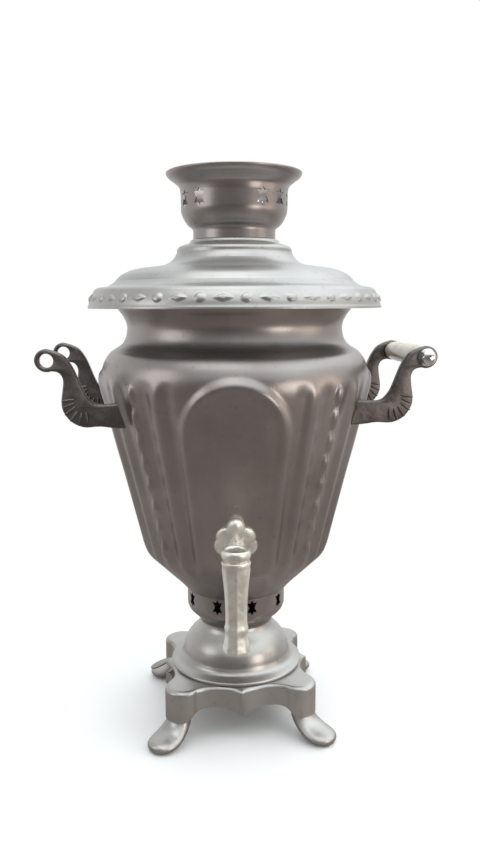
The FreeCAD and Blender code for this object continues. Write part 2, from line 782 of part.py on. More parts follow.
# Ash pan: tray with a leaf-shaped tab that leans down outside the skirt
panBody = primitive("Box", "pan_block", Length=the.panLength, Width=the.panWidth, Height=the.panDepth)
place(panBody, x=-the.panLength / 2, y=-the.panWidth / 2, z=panFootZ)
panInside = primitive("Box", "pan_inside", Length=the.panLength - the.panWall * 2, Width=the.panWidth - the.panWall * 2,
                      Height=the.panDepth)
place(panInside, x=-the.panLength / 2 + the.panWall, y=-the.panWidth / 2 + the.panWall, z=panFootZ + the.panWall)
panTray = boolean("Cut", "pan_tray", panBody, panInside)
tabRootX = -the.cuspReach + 2.0
tabZ = panTopZ - the.panWall * 3
tongue = primitive("Box", "pan_tongue", Length=the.cuspReach - the.panLength / 2, Width=the.tabWidth * 0.6,
                   Height=the.panWall * 1.6)
place(tongue, x=tabRootX, y=the.tabY - the.tabWidth * 0.3, z=tabZ)
leafEdge = primitive("Ellipse", "leaf_edge", MajorRadius=the.tabLength / 2, MinorRadius=the.tabWidth / 2)
leafPlate = doc.addObject("Part::Extrusion", "leaf_plate")
leafPlate.Base = leafEdge
leafPlate.DirMode = "Custom"
leafPlate.Dir = Vector(0, 0, 1)
leafPlate.Solid = True
bind(leafPlate, "LengthFwd", the.panWall * 1.4)
leaf = grouped("pan_leaf", [leafPlate])
droop = math.radians(driving["tabDroop"])
place(leaf, x=tabRootX - the.tabLength * (0.42 * math.cos(droop)), y=the.tabY,
      z=tabZ - the.tabLength * (0.42 * math.sin(droop)), axis=Vector(0, 1, 0), turn=-the.tabDroop)
ashPan = fused("ash_pan", [panTray, tongue, leaf])

runners = []
for signY in (-1, 1):
    tag = "left" if signY < 0 else "right"
    outerY = the.panWidth / 2 + the.panClearance + the.panWall * 1.5
    web = primitive("Box", "runner_web_" + tag, Length=the.panLength * 0.8, Width=the.panWall * 1.5,
                    Height=the.panDepth + the.panWall + the.seatGap + 2.2)
    lip = primitive("Box", "runner_lip_" + tag, Length=the.panLength * 0.8, Width=the.runnerLip + the.panWall * 1.5,
                    Height=the.panWall)
    lowZ = panFootZ - the.panWall - the.seatGap
    webY = -outerY if signY < 0 else outerY - the.panWall * 1.5
    lipY = -outerY if signY < 0 else outerY - the.panWall * 1.5 - the.runnerLip
    place(web, x=-the.panLength * 0.4, y=webY, z=lowZ)
    place(lip, x=-the.panLength * 0.4, y=lipY, z=lowZ)
    runners.append(fused("runner_" + tag, [web, lip]))
ashPanRunners = grouped("ash_pan_runners", runners)


# Feet: an ankle under the plate's corner, a leg that leans out and a spoon-shaped toe
def ellipseSketch(body, name, halfA, halfB, spot, lean):
    """Ellipse in a plane that leans outwards along the foot's own X axis."""
    sketch = body.newObject("Sketcher::SketchObject", name)
    origin = [item for item in body.Origin.OriginFeatures if item.Role == "XY_Plane"][0]
    sketch.AttachmentSupport = (origin, [""])
    sketch.MapMode = "FlatFace"
    sketch.AttachmentOffset = Placement(Vector(spot[0].number, 0, spot[1].number), Rotation(Vector(0, 1, 0), lean))
    sketch.setExpression("AttachmentOffset.Base.x", spot[0].formula)
    sketch.setExpression("AttachmentOffset.Base.z", spot[1].formula)
    major = max(halfA.number, halfB.number)
    minor = min(halfA.number, halfB.number)
    ellipse = Part.Ellipse(Vector(0, 0, 0), major, minor)
    if halfB.number > halfA.number:
        ellipse.rotate(Placement(Vector(0, 0, 0), Rotation(Vector(0, 0, 1), 90)))
    sketch.addGeometry(ellipse, False)
    return sketch


def makeFoot(name, turn):
    leg = doc.addObject("PartDesign::Body", name + "_leg")
    reach = the.toeReach - the.ankleReach
    stations = [
        (the.ankleRadius * 0.95, the.ankleRadius * 0.95, (the.ankleReach, the.skirtCornerZ + 4.0), 180),
        (the.ankleRadius * 0.8, the.ankleRadius * 0.92, (the.ankleReach + reach * 0.22, the.skirtCornerZ * 0.78), 150),
        (the.toeHalfHeight * 0.9, the.toeHalfWidth * 0.84, (the.ankleReach + reach * 0.6, the.toeZ + 3.2), 110),
        (the.toeHalfHeight * 0.86, the.toeHalfWidth * 0.96, (the.toeReach - 2.0, the.toeZ + 0.2), 95),
    ]
    sketches = [ellipseSketch(leg, "%s_section_%d" % (name, number + 1), a, b, spot, lean)
                for number, (a, b, spot, lean) in enumerate(stations)]
    loft = leg.newObject("PartDesign::AdditiveLoft", name + "_loft")
    loft.Profile = sketches[0]
    loft.Sections = sketches[1:]
    leg.Tip = loft
    ankle = primitive("Cylinder", name + "_ankle", Radius=the.ankleRadius,
                      Height=the.plateTop - the.plateWall - the.skirtCornerZ - 0.1)
    place(ankle, x=the.ankleReach, z=the.skirtCornerZ)
    toe = primitive("Ellipsoid", name + "_toe", Radius1=the.toeHalfHeight, Radius2=the.toeHalfLength,
                    Radius3=the.toeHalfWidth)
    toe.Angle1, toe.Angle2, toe.Angle3 = -90, 90, 360
    place(toe, x=the.toeReach, z=the.toeZ)
    rough = fused(name + "_rough", [leg, ankle, toe])
    block = primitive("Box", name + "_ground", Length=200, Width=80, Height=80)
    place(block, x=-10, y=-40, z=-80)
    foot = boolean("Cut", name, rough, block)
    place(foot, turn=turn)
    return foot


feet = {name: makeFoot(name, turn) for name, turn in (
    ("foot_front_left", -135), ("foot_front_right", -45), ("foot_back_left", 135), ("foot_back_right", 45))}


# Tap, drawn with its barrel on the Z axis and moved out to its place afterwards
def octagonSketch(body, name, radius, z):
    corners = [(radius * math.cos(math.radians(45 * step)), radius * math.sin(math.radians(45 * step)), 0)
               for step in range(8)]
    return drawOutline(levelSketch(body, name, z), corners)


spout = doc.addObject("PartDesign::Body", "spout_form")
spoutStations = [
    (the.barrelTopRadius, the.tapTopZ),
    (the.barrelTopRadius * 0.97, the.tapTopZ - 5.0),
    (the.barrelWaistRadius, the.tapTopZ - 17.0),
    (the.spoutNeckRadius, the.spoutNeckZ + 3.0),
    (the.spoutBeadRadius, the.spoutNeckZ),
    (the.spoutNeckRadius, the.spoutNeckZ - 3.0),
    (the.spoutFootRadius, the.tapFootZ),
]
spoutSketches = [octagonSketch(spout, "spout_section_%d" % (number + 1), radius, plain(z))
                 for number, (radius, z) in enumerate(spoutStations)]
spoutLoft = spout.newObject("PartDesign::AdditiveLoft", "spout_loft")
spoutLoft.Profile = spoutSketches[0]
spoutLoft.Sections = spoutSketches[1:]
spoutLoft.Ruled = True
spout.Tip = spoutLoft

shankReach = the.tapReach - taperRadius(the.tapShankZ) + the.tapNutThickness * 3.0
shank = primitive("Cylinder", "tap_shank", Radius=the.tapShankRadius, Height=shankReach)
place(shank, z=the.tapShankZ, axis=Vector(1, 0, 0), turn=-90)
collar = primitive("Cylinder", "tap_collar", Radius=the.tapShankRadius + 2.4,
                   Height=the.tapReach - taperRadius(the.tapShankZ) - the.shieldThickness - the.panelRise - 5.0)
place(collar, z=the.tapShankZ, axis=Vector(1, 0, 0), turn=-90)
tapSolid = fused("tap_solid", [spout, shank, collar])
plugBore = primitive("Cone", "plug_bore", Radius1=the.plugFootRadius + the.plugClearance,
                     Radius2=the.plugTopRadius + the.plugClearance, Height=the.tapTopZ - the.plugFootZ)
place(plugBore, z=the.plugFootZ)
spoutBore = primitive("Cylinder", "spout_bore", Radius=the.tapBore, Height=the.plugFootZ - the.tapFootZ + 2.0)
place(spoutBore, z=the.tapFootZ - 1.0)
spoutMouth = primitive("Cone", "spout_mouth", Radius1=the.spoutFootRadius * 0.72, Radius2=the.tapBore,
                       Height=the.spoutNeckZ - the.tapFootZ)
place(spoutMouth, z=the.tapFootZ - 0.01)
shankBore = primitive("Cylinder", "shank_bore", Radius=the.tapBore, Height=shankReach + 2.0)
place(shankBore, z=the.tapShankZ - 4.0, axis=Vector(1, 0, 0), turn=-90)
tapBores = fused("tap_bores", [plugBore, spoutBore, spoutMouth, shankBore])
tapLocal = boolean("Cut", "tap_local", tapSolid, tapBores)
place(tapLocal, y=-the.tapReach)
tapBody = grouped("tap_body", [tapLocal])
place(tapBody, turn=the.vesselTurn)

# Plug: taper, ring with an open key socket on top, and a waterway from its side down and out
plugCone = primitive("Cone", "plug_cone", Radius1=the.plugFootRadius, Radius2=the.plugTopRadius,
                     Height=the.tapTopZ - the.plugFootZ)
place(plugCone, z=the.plugFootZ)
ringZ = the.tapTopZ + the.plugNeckHeight
plugNeck = primitive("Cylinder", "plug_step", Radius=the.plugTopRadius, Height=the.plugNeckHeight + 0.5)
place(plugNeck, z=the.tapTopZ - 0.2)
ringBody = turned("plug_ring", [
    (plain(0), ringZ, 0),
    (the.plugRingRadius - 1.4, ringZ, 0.8),
    (the.plugRingRadius - 1.4, ringZ + the.plugRingThickness * 0.8, 0.1),
    (the.plugRingRadius - 3.2, ringZ + the.plugRingThickness, 0),
    (plain(0), ringZ + the.plugRingThickness, 0),
])
plugSolid = fused("plug_solid", [plugCone, plugNeck, ringBody])
socket = primitive("Cylinder", "key_socket", Radius=the.socketRadius, Height=the.socketDepth + 5.0)
place(socket, z=ringZ + the.plugRingThickness - the.socketDepth)
waterway = primitive("Cylinder", "plug_waterway", Radius=the.tapBore, Height=the.tapShankZ - the.plugFootZ - 3.0)
place(waterway, z=the.plugFootZ - 1.0)
port = primitive("Cylinder", "plug_port", Radius=the.tapBore * 0.9, Height=the.plugTopRadius * 2)
place(port, z=the.tapShankZ - 6.0, axis=Vector(0, 1, 0), turn=90)
plugLocal = boolean("Cut", "plug_local", plugSolid, fused("plug_bores", [socket, waterway, port]))
place(plugLocal, y=-the.tapReach)
tapPlug = grouped("tap_plug", [plugLocal])
place(tapPlug, turn=the.vesselTurn)


# Escutcheon: two cast layers that follow the panel round the shank, and a domed nose
def shieldLayer(name, outline, thickness):
    """An outline seen from the front, kept between the panel and a form grown by the thickness."""
    body = doc.addObject("PartDesign::Body", name + "_prism")
    scale = the.shieldRadius
    points = [(scale * x, the.shieldZ + scale * z, bulge) for x, z, bulge in outline]
    pad = body.newObject("PartDesign::Pad", name + "_pad")
    pad.Profile = drawOutline(sketchOn(body, name + "_outline", "XZ_Plane"), points)
    bind(pad, "Length", the.tapReach)
    body.Tip = pad
    grown = solidForm(name + "_grown", vesselChain(the.panelRise + thickness), the.floorZ, the.rimZ)
    return boolean("Common", name, grown, body)


wideLayer = [(-0.42, -1.5, -0.12), (-0.92, -0.55, -0.2), (-0.93, 0.34, -0.1),
             (0.93, 0.34, -0.2), (0.92, -0.55, -0.12), (0.42, -1.5, -0.45)]
noseLayer = [(-0.5, -0.86, -0.12), (-0.83, 0.06, -0.55), (-0.48, 0.68, 0.15), (-0.42, 0.97, -0.9),
             (0.42, 0.97, 0.15), (0.48, 0.68, -0.55), (0.83, 0.06, -0.12), (0.5, -0.86, -0.3)]
nose = primitive("Sphere", "shield_nose", Radius=the.noseRadius * 0.84)
place(nose, y=-(taperRadius(the.noseZ) + the.panelRise + 2.0), z=the.noseZ)
shieldPieces = [shieldLayer("shield_wide", wideLayer, the.shieldThickness * 0.6),
                shieldLayer("shield_upper", noseLayer, the.shieldThickness * 1.1), nose]
shieldHole = primitive("Cylinder", "shield_hole", Radius=the.tapShankRadius + 1.9, Height=the.tapReach)
place(shieldHole, z=the.tapShankZ, axis=Vector(1, 0, 0), turn=90)
shieldCuts = fused("shield_cuts", [panelForm, shieldHole])
tapEscutcheon = boolean("Cut", "tap_escutcheon", fused("shield_solid", shieldPieces), shieldCuts)
place(tapEscutcheon, turn=the.vesselTurn)

# Gasket and lock nut on the shank, inside the vessel
gasketBlank = primitive("Cylinder", "gasket_blank", Radius=the.gasketRadius, Height=the.gasketThickness + 8.0)
gasketFaceY = taperRadius(the.tapShankZ - the.gasketRadius) - wall - the.gasketThickness - 1.4
place(gasketBlank, y=-gasketFaceY, z=the.tapShankZ, axis=Vector(1, 0, 0), turn=90)
gasketHole = primitive("Cylinder", "gasket_hole", Radius=the.tapShankRadius + the.plugClearance, Height=the.tapReach)
place(gasketHole, z=the.tapShankZ, axis=Vector(1, 0, 0), turn=90)
gasketDisc = boolean("Cut", "gasket_disc", gasketBlank, gasketHole)
tapGasket = boolean("Common", "tap_gasket", gasketDisc, waterSpace)
place(tapGasket, turn=the.vesselTurn)

lockNut = doc.addObject("Part::Prism", "lock_nut_blank")
lockNut.Polygon = 6
bind(lockNut, "Circumradius", the.tapNutRadius)
bind(lockNut, "Height", the.tapNutThickness)
place(lockNut, y=-(gasketFaceY - the.tapNutThickness - 0.05), z=the.tapShankZ, axis=Vector(1, 0, 0), turn=90)
tapLockNut = boolean("Cut", "tap_lock_nut", lockNut, gasketHole)
place(tapLockNut, turn=the.vesselTurn)


# Handle brackets: an S-shaped cast plate with an eye at its outer end
def bracketOutline():
    """Outline from the eye: distance towards the vessel, height, and bulge of the edge that leaves."""
    eye = the.eyeRadius
    return [
        (plain(0), eye, -0.08),
        (eye * 1.54, eye * 0.42, -0.06),
        (eye * 2.34, -(eye * 0.83), 0),
        (eye * 3.06, -(eye * 2.71), 0.12),
        (eye * 3.86, -(eye * 3.74), 0.1),
        (eye * 4.75, -(eye * 3.86), 0),
        (eye * 7.4, -(eye * 3.7), 0),
        (eye * 7.4, -(eye * 5.97), 0),
        (eye * 5.5, -(eye * 5.94), 0.05),
        (eye * 4.5, -(eye * 5.75), 0.05),
        (eye * 3.4, -(eye * 5.85), -0.16),
        (eye * 1.95, -(eye * 5.3), -0.14),
        (eye * 1.2, -(eye * 4.1), -0.1),
        (eye * 1.28, -(eye * 2.8), 0),
        (eye * 1.42, -(eye * 1.8), 0.22),
        (eye * 0.95, -(eye * 0.93), 0),
        (eye * 0.42, -(eye * 0.9), -0.5),
        (-(eye * 1.0), plain(0), -0.42),
    ]


def makeBracket(side, signX, signY):
    name = "bracket_" + side
    body = doc.addObject("PartDesign::Body", name + "_form")
    points = [(-(x * signX), z, -bulge * signX) for x, z, bulge in bracketOutline()]
    sketch = drawOutline(sketchOn(body, name + "_outline", "XZ_Plane"), points)
    pad = body.newObject("PartDesign::Pad", name + "_pad")
    pad.Profile = sketch
    pad.Midplane = True
    bind(pad, "Length", the.bracketThickness)
    body.Tip = pad
    place(body, x=the.eyeReach * signX, y=the.eyeSpread * signY, z=the.eyeZ)
    eyeHole = primitive("Cylinder", name + "_eye", Radius=the.eyeHole, Height=the.bracketThickness * 3)
    place(eyeHole, x=the.eyeReach * signX, y=the.eyeSpread * signY + the.bracketThickness * 1.5, z=the.eyeZ,
          axis=Vector(1, 0, 0), turn=90)
    rod = stud(name + "_stud", the.studRadius, signX, signY, studStart, the.studLength + 2.0)
    bare = boolean("Cut", name + "_bare", body, fused(name + "_cuts", [eyeHole, vesselTurned]))
    return fused(name, [bare, rod])


vesselTurned = doc.addObject("Part::Compound", "vessel_turned")
vesselTurned.Links = [vesselSolid]
place(vesselTurned, turn=the.vesselTurn)
brackets = {"bracket_" + side: makeBracket(side, *signs) for side, signs in sides.items()}

washers = []
nuts = []
nutFace = studStart + 5.0 + driving["nutThickness"]
for side, (signX, signY) in sides.items():
    blank = stud("washer_blank_" + side, the.washerRadius, signX, signY, nutFace, the.studLength)
    hole = stud("washer_hole_" + side, the.studRadius + the.plugClearance, signX, signY, studStart - 5.0, the.studLength * 3)
    saddle = boolean("Common", "washer_saddle_" + side, blank, waterSpace)
    washers.append(boolean("Cut", "washer_" + side, saddle, hole))
    heading = bracketHeading(signX, signY)
    nut = doc.addObject("Part::Prism", "nut_blank_" + side)
    nut.Polygon = 6
    bind(nut, "Circumradius", the.nutRadius)
    bind(nut, "Height", the.nutThickness)
    start = nutFace - driving["nutThickness"] - 0.05
    spot = Vector(start * math.cos(math.radians(heading)), start * math.sin(math.radians(heading)), driving["studZ"])
    nut.Placement = Placement(spot, Rotation(Vector(0, 0, 1), heading).multiply(Rotation(Vector(0, 1, 0), 90)))
    nut.setExpression("Placement.Base.z", the.studZ.formula)
    nuts.append(boolean("Cut", "nut_" + side, nut, hole))
bracketWashers = grouped("bracket_washers", washers)
bracketNuts = grouped("bracket_nuts", nuts)

# Right handle: turned grip on a rod between the eyes, with a domed cap nut at each end
gripHalf = the.eyeSpread - the.bracketThickness / 2 - the.seatGap
gripBody = turned("grip_form", [
    (the.rodRadius + the.plugClearance, -gripHalf, 0),
    (the.gripEndRadius, -gripHalf, 0.1),
    (the.gripRadius, -(gripHalf * 0.7), 0.02),
    (the.gripRadius, gripHalf * 0.7, 0.1),
    (the.gripEndRadius, gripHalf, 0),
    (the.rodRadius + the.plugClearance, gripHalf, 0),
])
place(gripBody, x=the.eyeReach, z=the.eyeZ, axis=Vector(1, 0, 0), turn=90)
rightGrip = grouped("right_grip", [gripBody])
capFaceY = the.eyeSpread + the.bracketThickness / 2
rightRod = primitive("Cylinder", "right_grip_rod", Radius=the.rodRadius, Height=(capFaceY + the.capFlange) * 2)
place(rightRod, x=the.eyeReach, y=capFaceY + the.capFlange, z=the.eyeZ, axis=Vector(1, 0, 0), turn=90)


def makeCap(name, signY):
    """Domed cap nut: a flange on the eye's face and a dome closed at its end."""
    flange = primitive("Cylinder", name + "_flange", Radius=the.capRadius + 0.9, Height=the.capFlange)
    dome = primitive("Ellipsoid", name + "_dome", Radius1=the.capHeight + the.capFlange * 0.5, Radius2=the.capRadius,
                     Radius3=the.capRadius)
    dome.Angle1, dome.Angle2, dome.Angle3 = 0, 90, 360
    place(dome, z=the.capFlange * 0.5)
    bore = primitive("Cylinder", name + "_bore", Radius=the.rodRadius + the.plugClearance, Height=the.capFlange + 0.1)
    form = boolean("Cut", name + "_form", fused(name + "_solid", [flange, dome]), bore)
    place(form, x=the.eyeReach, y=(capFaceY + 0.05) * signY, z=the.eyeZ, axis=Vector(1, 0, 0), turn=-90 * signY)
    return grouped(name, [form])


capFront = makeCap("right_cap_nut_front", -1)
capBack = makeCap("right_cap_nut_back", 1)

pieces = {
    "body_shell": bodyShell, "fire_tube": fireTube, "grate": grateBody, "lid": lid, "lid_ring": lidRing,
    "crown": crown, "vent_ring": ventRing, "base_dome": baseDome, "base_plate": basePlate,
    "ash_pan": ashPan, "ash_pan_runners": ashPanRunners, "tap_body": tapBody, "tap_plug": tapPlug,
    "tap_escutcheon": tapEscutcheon, "tap_gasket": tapGasket, "tap_lock_nut": tapLockNut,
    "bracket_washers": bracketWashers, "bracket_nuts": bracketNuts, "right_grip": rightGrip,
    "right_grip_rod": rightRod, "right_cap_nut_front": capFront, "right_cap_nut_back": capBack,
}
pieces.update(feet)
pieces.update(brackets)

doc.recompute()
faults = []
for thing in doc.Objects:
    if "Invalid" in thing.State or "Error" in thing.State:
        faults.append("%s is %s" % (thing.Name, thing.State))
for name, piece in pieces.items():
    piece.Label = name
    if piece.Shape.isNull() or not piece.Shape.isValid():
        faults.append(name + " has no valid shape")
if faults:
    raise RuntimeError("; ".join(faults))
for name, piece in pieces.items():
    piece.Shape.exportStep("parts/%s.step" % name)
    box = piece.Shape.BoundBox
    print("%-22s solids %d  volume %9.1f  z %6.1f to %6.1f" % (
        name, len(piece.Shape.Solids), piece.Shape.Volume, box.ZMin, box.ZMax))
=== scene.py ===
import bmesh
import bpy
import json
import math
import numpy as np
from mathutils import Matrix, Vector
from mathutils.geometry import tessellate_polygon


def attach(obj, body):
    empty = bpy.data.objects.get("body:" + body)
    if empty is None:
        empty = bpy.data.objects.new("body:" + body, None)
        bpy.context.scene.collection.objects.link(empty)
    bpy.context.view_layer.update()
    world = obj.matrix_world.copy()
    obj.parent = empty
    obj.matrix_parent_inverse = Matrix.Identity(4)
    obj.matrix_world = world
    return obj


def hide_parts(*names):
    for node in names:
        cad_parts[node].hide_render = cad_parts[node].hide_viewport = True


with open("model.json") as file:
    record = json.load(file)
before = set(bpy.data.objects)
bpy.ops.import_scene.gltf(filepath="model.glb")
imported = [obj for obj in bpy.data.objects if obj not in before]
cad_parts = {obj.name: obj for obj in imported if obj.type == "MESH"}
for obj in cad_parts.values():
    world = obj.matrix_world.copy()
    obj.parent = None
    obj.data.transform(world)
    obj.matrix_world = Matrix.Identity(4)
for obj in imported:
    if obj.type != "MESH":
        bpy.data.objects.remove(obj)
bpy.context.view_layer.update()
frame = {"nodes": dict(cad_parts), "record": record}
mm = 0.001

print("stage: helpers")


def smoothstep(low, high, value):
    share = min(max((value - low) / (high - low), 0.0), 1.0)
    return share * share * (3 - 2 * share)


def bell(value, middle, width):
    return math.exp(-((value - middle) / width) ** 2)


# Smooth line through r, z points; a third entry of 0 keeps that corner sharp
def curveThrough(points, steps):
    line = []
    last = len(points) - 1
    for i in range(last):
        a, b = points[i], points[i + 1]
        before = points[i - 1] if i and len(a) == 2 else a
        after = points[i + 2] if i + 2 <= last and len(b) == 2 else b
        for step in range(steps):
            t = step / steps
            row = []
            for k in (0, 1):
                m0 = (b[k] - before[k]) * 0.5 if before is not a else b[k] - a[k]
                m1 = (after[k] - a[k]) * 0.5 if after is not b else b[k] - a[k]
                row.append((2 * t ** 3 - 3 * t ** 2 + 1) * a[k] + (t ** 3 - 2 * t ** 2 + t) * m0
                           + (-2 * t ** 3 + 3 * t ** 2) * b[k] + (t ** 3 - t ** 2) * m1)
            line.append(tuple(row))
    line.append((points[last][0], points[last][1]))
    return line


def makeMesh(name, verts, faces, sharpDegrees=35):
    mesh = bpy.data.meshes.new(name)
    mesh.from_pydata(verts, [], faces)
    mesh.validate()
    mesh.update()
    piece = bpy.data.objects.new(name, mesh)
    bpy.context.collection.objects.link(piece)
    for face in mesh.polygons:
        face.use_smooth = True
    mesh.set_sharp_from_angle(angle=math.radians(sharpDegrees))
    return piece


# Sheet turned about Z from an r, z line in mm, with its inner side a wall further in
def turnedSkin(name, line, wall, around, lift=None, sharpDegrees=35):
    verts, faces = [], []
    count = len(line)
    for side in (0, 1):
        for i, (r, z) in enumerate(line):
            ahead, behind = line[min(i + 1, count - 1)], line[max(i - 1, 0)]
            run = Vector((ahead[0] - behind[0], ahead[1] - behind[1])).normalized()
            outR, outZ = run.y, -run.x
            for j in range(around):
                angle = 2 * math.pi * j / around
                rise = lift(angle, z) if lift else 0.0
                push = rise - side * wall
                radius = r + outR * push
                x, y = radius * math.sin(angle), -radius * math.cos(angle)
                verts.append((x * mm, y * mm, (z + outZ * push) * mm))
    half = count * around
    for i in range(count - 1):
        for j in range(around):
            k = (j + 1) % around
            a, b, c, d = i * around + j, i * around + k, (i + 1) * around + k, (i + 1) * around + j
            faces.append((a, b, c, d))
            faces.append((half + d, half + c, half + b, half + a))
    for j in range(around):
        k = (j + 1) % around
        faces.append((k, j, half + j, half + k))
        top = (count - 1) * around
        faces.append((top + j, top + k, half + top + k, half + top + j))
    return makeMesh(name, verts, faces, sharpDegrees)


# Closed skin through rings of equally many points
def loft(rings, capFirst=True, capLast=True):
    around = len(rings[0])
    verts = [p for ring in rings for p in ring]
    faces = []
    for i in range(len(rings) - 1):
        for j in range(around):
            k = (j + 1) % around
            faces.append((i * around + j, i * around + k, (i + 1) * around + k, (i + 1) * around + j))
    if capFirst:
        faces.append(tuple(range(around - 1, -1, -1)))
    if capLast:
        faces.append(tuple((len(rings) - 1) * around + j for j in range(around)))
    return verts, faces


# Joins the last ring of a loft to its first
def closeRings(form, rings):
    around = len(rings[0])
    last = (len(rings) - 1) * around
    form[1].extend((last + j, last + (j + 1) % around, (j + 1) % around, j) for j in range(around))


def merge(parts):
    verts, faces = [], []
    for partVerts, partFaces in parts:
        base = len(verts)
        verts += partVerts
        faces += [tuple(base + k for k in face) for face in partFaces]
    return verts, faces


def scaled(parts):
    verts, faces = merge(parts)
    return [(x * mm, y * mm, z * mm) for x, y, z in verts], faces


# Turns every face of a closed skin to look outwards
def outwards(piece):
    work = bmesh.new()
    work.from_mesh(piece.data)
    bmesh.ops.recalc_face_normals(work, faces=work.faces)
    work.to_mesh(piece.data)
    work.free()
    return piece


def turnAbout(piece, degrees):
    piece.data.transform(Matrix.Rotation(math.radians(degrees), 4, "Z"))


print("stage: materials")


def newMaterial(name):
    material = bpy.data.materials.new(name)
    material.use_nodes = True
    tree = material.node_tree
    return material, tree.nodes, tree.links, tree.nodes["Principled BSDF"]


# Worn plating: cloudy colour, uneven roughness, fine scratches and shallow dents
def agedMetal(name, look):
    material, nodes, links, shader = newMaterial(name)
    place = nodes.new("ShaderNodeTexCoord")
    shader.inputs["Metallic"].default_value = look["metallic"]
    cloud = nodes.new("ShaderNodeTexNoise")
    cloud.inputs["Scale"].default_value = look["cloudScale"]
    cloud.inputs["Detail"].default_value = 6
    cloud.inputs["Roughness"].default_value = 0.6
    links.new(place.outputs["Object"], cloud.inputs["Vector"])
    tint = nodes.new("ShaderNodeValToRGB")
    tint.color_ramp.elements[0].position = 0.3
    tint.color_ramp.elements[0].color = (*look["dark"], 1)
    tint.color_ramp.elements[1].position = 0.72
    tint.color_ramp.elements[1].color = (*look["light"], 1)
    middle = tint.color_ramp.elements.new(0.5)
    middle.color = (*look["middle"], 1)
    links.new(cloud.outputs["Fac"], tint.inputs["Fac"])
    speck = nodes.new("ShaderNodeTexNoise")
    speck.inputs["Scale"].default_value = look["speckScale"]
    speck.inputs["Detail"].default_value = 4
    links.new(place.outputs["Object"], speck.inputs["Vector"])
    speckRamp = nodes.new("ShaderNodeValToRGB")
    speckRamp.color_ramp.elements[0].position = 0.62
    speckRamp.color_ramp.elements[0].color = (0, 0, 0, 1)
    speckRamp.color_ramp.elements[1].position = 0.74
    speckRamp.color_ramp.elements[1].color = (1, 1, 1, 1)
    links.new(speck.outputs["Fac"], speckRamp.inputs["Fac"])
    mix = nodes.new("ShaderNodeMix")
    mix.data_type = "RGBA"
    mix.inputs["B"].default_value = (*look["stain"], 1)
    strength = nodes.new("ShaderNodeMath")
    strength.operation = "MULTIPLY"
    strength.inputs[1].default_value = look["stainAmount"]
    links.new(speckRamp.outputs["Color"], strength.inputs[0])
    links.new(strength.outputs["Value"], mix.inputs["Factor"])
    links.new(tint.outputs["Color"], mix.inputs["A"])
    links.new(mix.outputs["Result"], shader.inputs["Base Color"])
    rough = nodes.new("ShaderNodeMapRange")
    rough.inputs["To Min"].default_value = look["roughLow"]
    rough.inputs["To Max"].default_value = look["roughHigh"]
    links.new(cloud.outputs["Fac"], rough.inputs["Value"])
    links.new(rough.outputs["Result"], shader.inputs["Roughness"])
    grain = nodes.new("ShaderNodeTexNoise")
    grain.inputs["Scale"].default_value = look["grainScale"]
    grain.inputs["Detail"].default_value = 3
    stretch = nodes.new("ShaderNodeMapping")
    stretch.inputs["Scale"].default_value = look["grainStretch"]
    links.new(place.outputs["Object"], stretch.inputs["Vector"])
    links.new(stretch.outputs["Vector"], grain.inputs["Vector"])
    dents = nodes.new("ShaderNodeTexNoise")
    dents.inputs["Scale"].default_value = look["dentScale"]
    dents.inputs["Detail"].default_value = 1
    links.new(place.outputs["Object"], dents.inputs["Vector"])
    fine = nodes.new("ShaderNodeBump")
    fine.inputs["Strength"].default_value = look["grainBump"]
    fine.inputs["Distance"].default_value = 0.0002
    links.new(grain.outputs["Fac"], fine.inputs["Height"])
    broad = nodes.new("ShaderNodeBump")
    broad.inputs["Strength"].default_value = look["dentBump"]
    broad.inputs["Distance"].default_value = 0.002
    links.new(dents.outputs["Fac"], broad.inputs["Height"])
    links.new(fine.outputs["Normal"], broad.inputs["Normal"])
    links.new(broad.outputs["Normal"], shader.inputs["Normal"])
    return material


nickelLook = {
    "metallic": 0.93, "dark": (0.28, 0.253, 0.245), "middle": (0.35, 0.32, 0.31),
    "light": (0.43, 0.405, 0.39), "stain": (0.24, 0.19, 0.165), "stainAmount": 0.35,
    "cloudScale": 9, "speckScale": 160,
    "roughLow": 0.27, "roughHigh": 0.43, "grainScale": 900, "grainStretch": (1, 1, 0.25), "grainBump": 0.25,
    "dentScale": 26, "dentBump": 0.12,
}
# Lid: the same nickel with a lighter base colour, a painted highlight for the brighter light its upward faces
# catch
litLidLook = dict(nickelLook, dark=(0.38, 0.37, 0.36), middle=(0.45, 0.445, 0.435), light=(0.52, 0.52, 0.51),
               roughLow=0.3, roughHigh=0.46)
# Stand: the same nickel with a lighter base colour, a painted highlight for the light its top faces catch
litStandLook = dict(nickelLook, dark=(0.37, 0.36, 0.34), middle=(0.44, 0.43, 0.41), light=(0.51, 0.50, 0.48),
                 roughLow=0.28, roughHigh=0.42)
# Tap: nickel with a much lighter, yellower base colour, a painted highlight for the light the faceted column
# catches; its specks are real stains
litTapLook = dict(nickelLook, dark=(0.66, 0.64, 0.57), middle=(0.82, 0.81, 0.74), light=(0.90, 0.90, 0.84),
               stain=(0.30, 0.26, 0.18), cloudScale=60, speckScale=300, grainScale=500,
               grainStretch=(1, 1, 1), grainBump=0.5, dentScale=140, dentBump=0.25,
               roughLow=0.36, roughHigh=0.52)
bracketLook = dict(litTapLook, dark=(0.12, 0.106, 0.10), middle=(0.17, 0.152, 0.145), light=(0.24, 0.22, 0.21),
                   stain=(0.07, 0.055, 0.045), stainAmount=0.5, roughLow=0.36, roughHigh=0.55)
brassLook = dict(litTapLook, dark=(0.42, 0.30, 0.14), middle=(0.55, 0.41, 0.20), light=(0.66, 0.52, 0.28))
sootLook = dict(litTapLook, metallic=0.6, dark=(0.03, 0.028, 0.026), middle=(0.06, 0.056, 0.052),
                light=(0.11, 0.10, 0.09), stain=(0.16, 0.08, 0.04), roughLow=0.6, roughHigh=0.85)
steelLook = dict(litTapLook, dark=(0.24, 0.235, 0.22), middle=(0.32, 0.31, 0.29), light=(0.40, 0.39, 0.37))
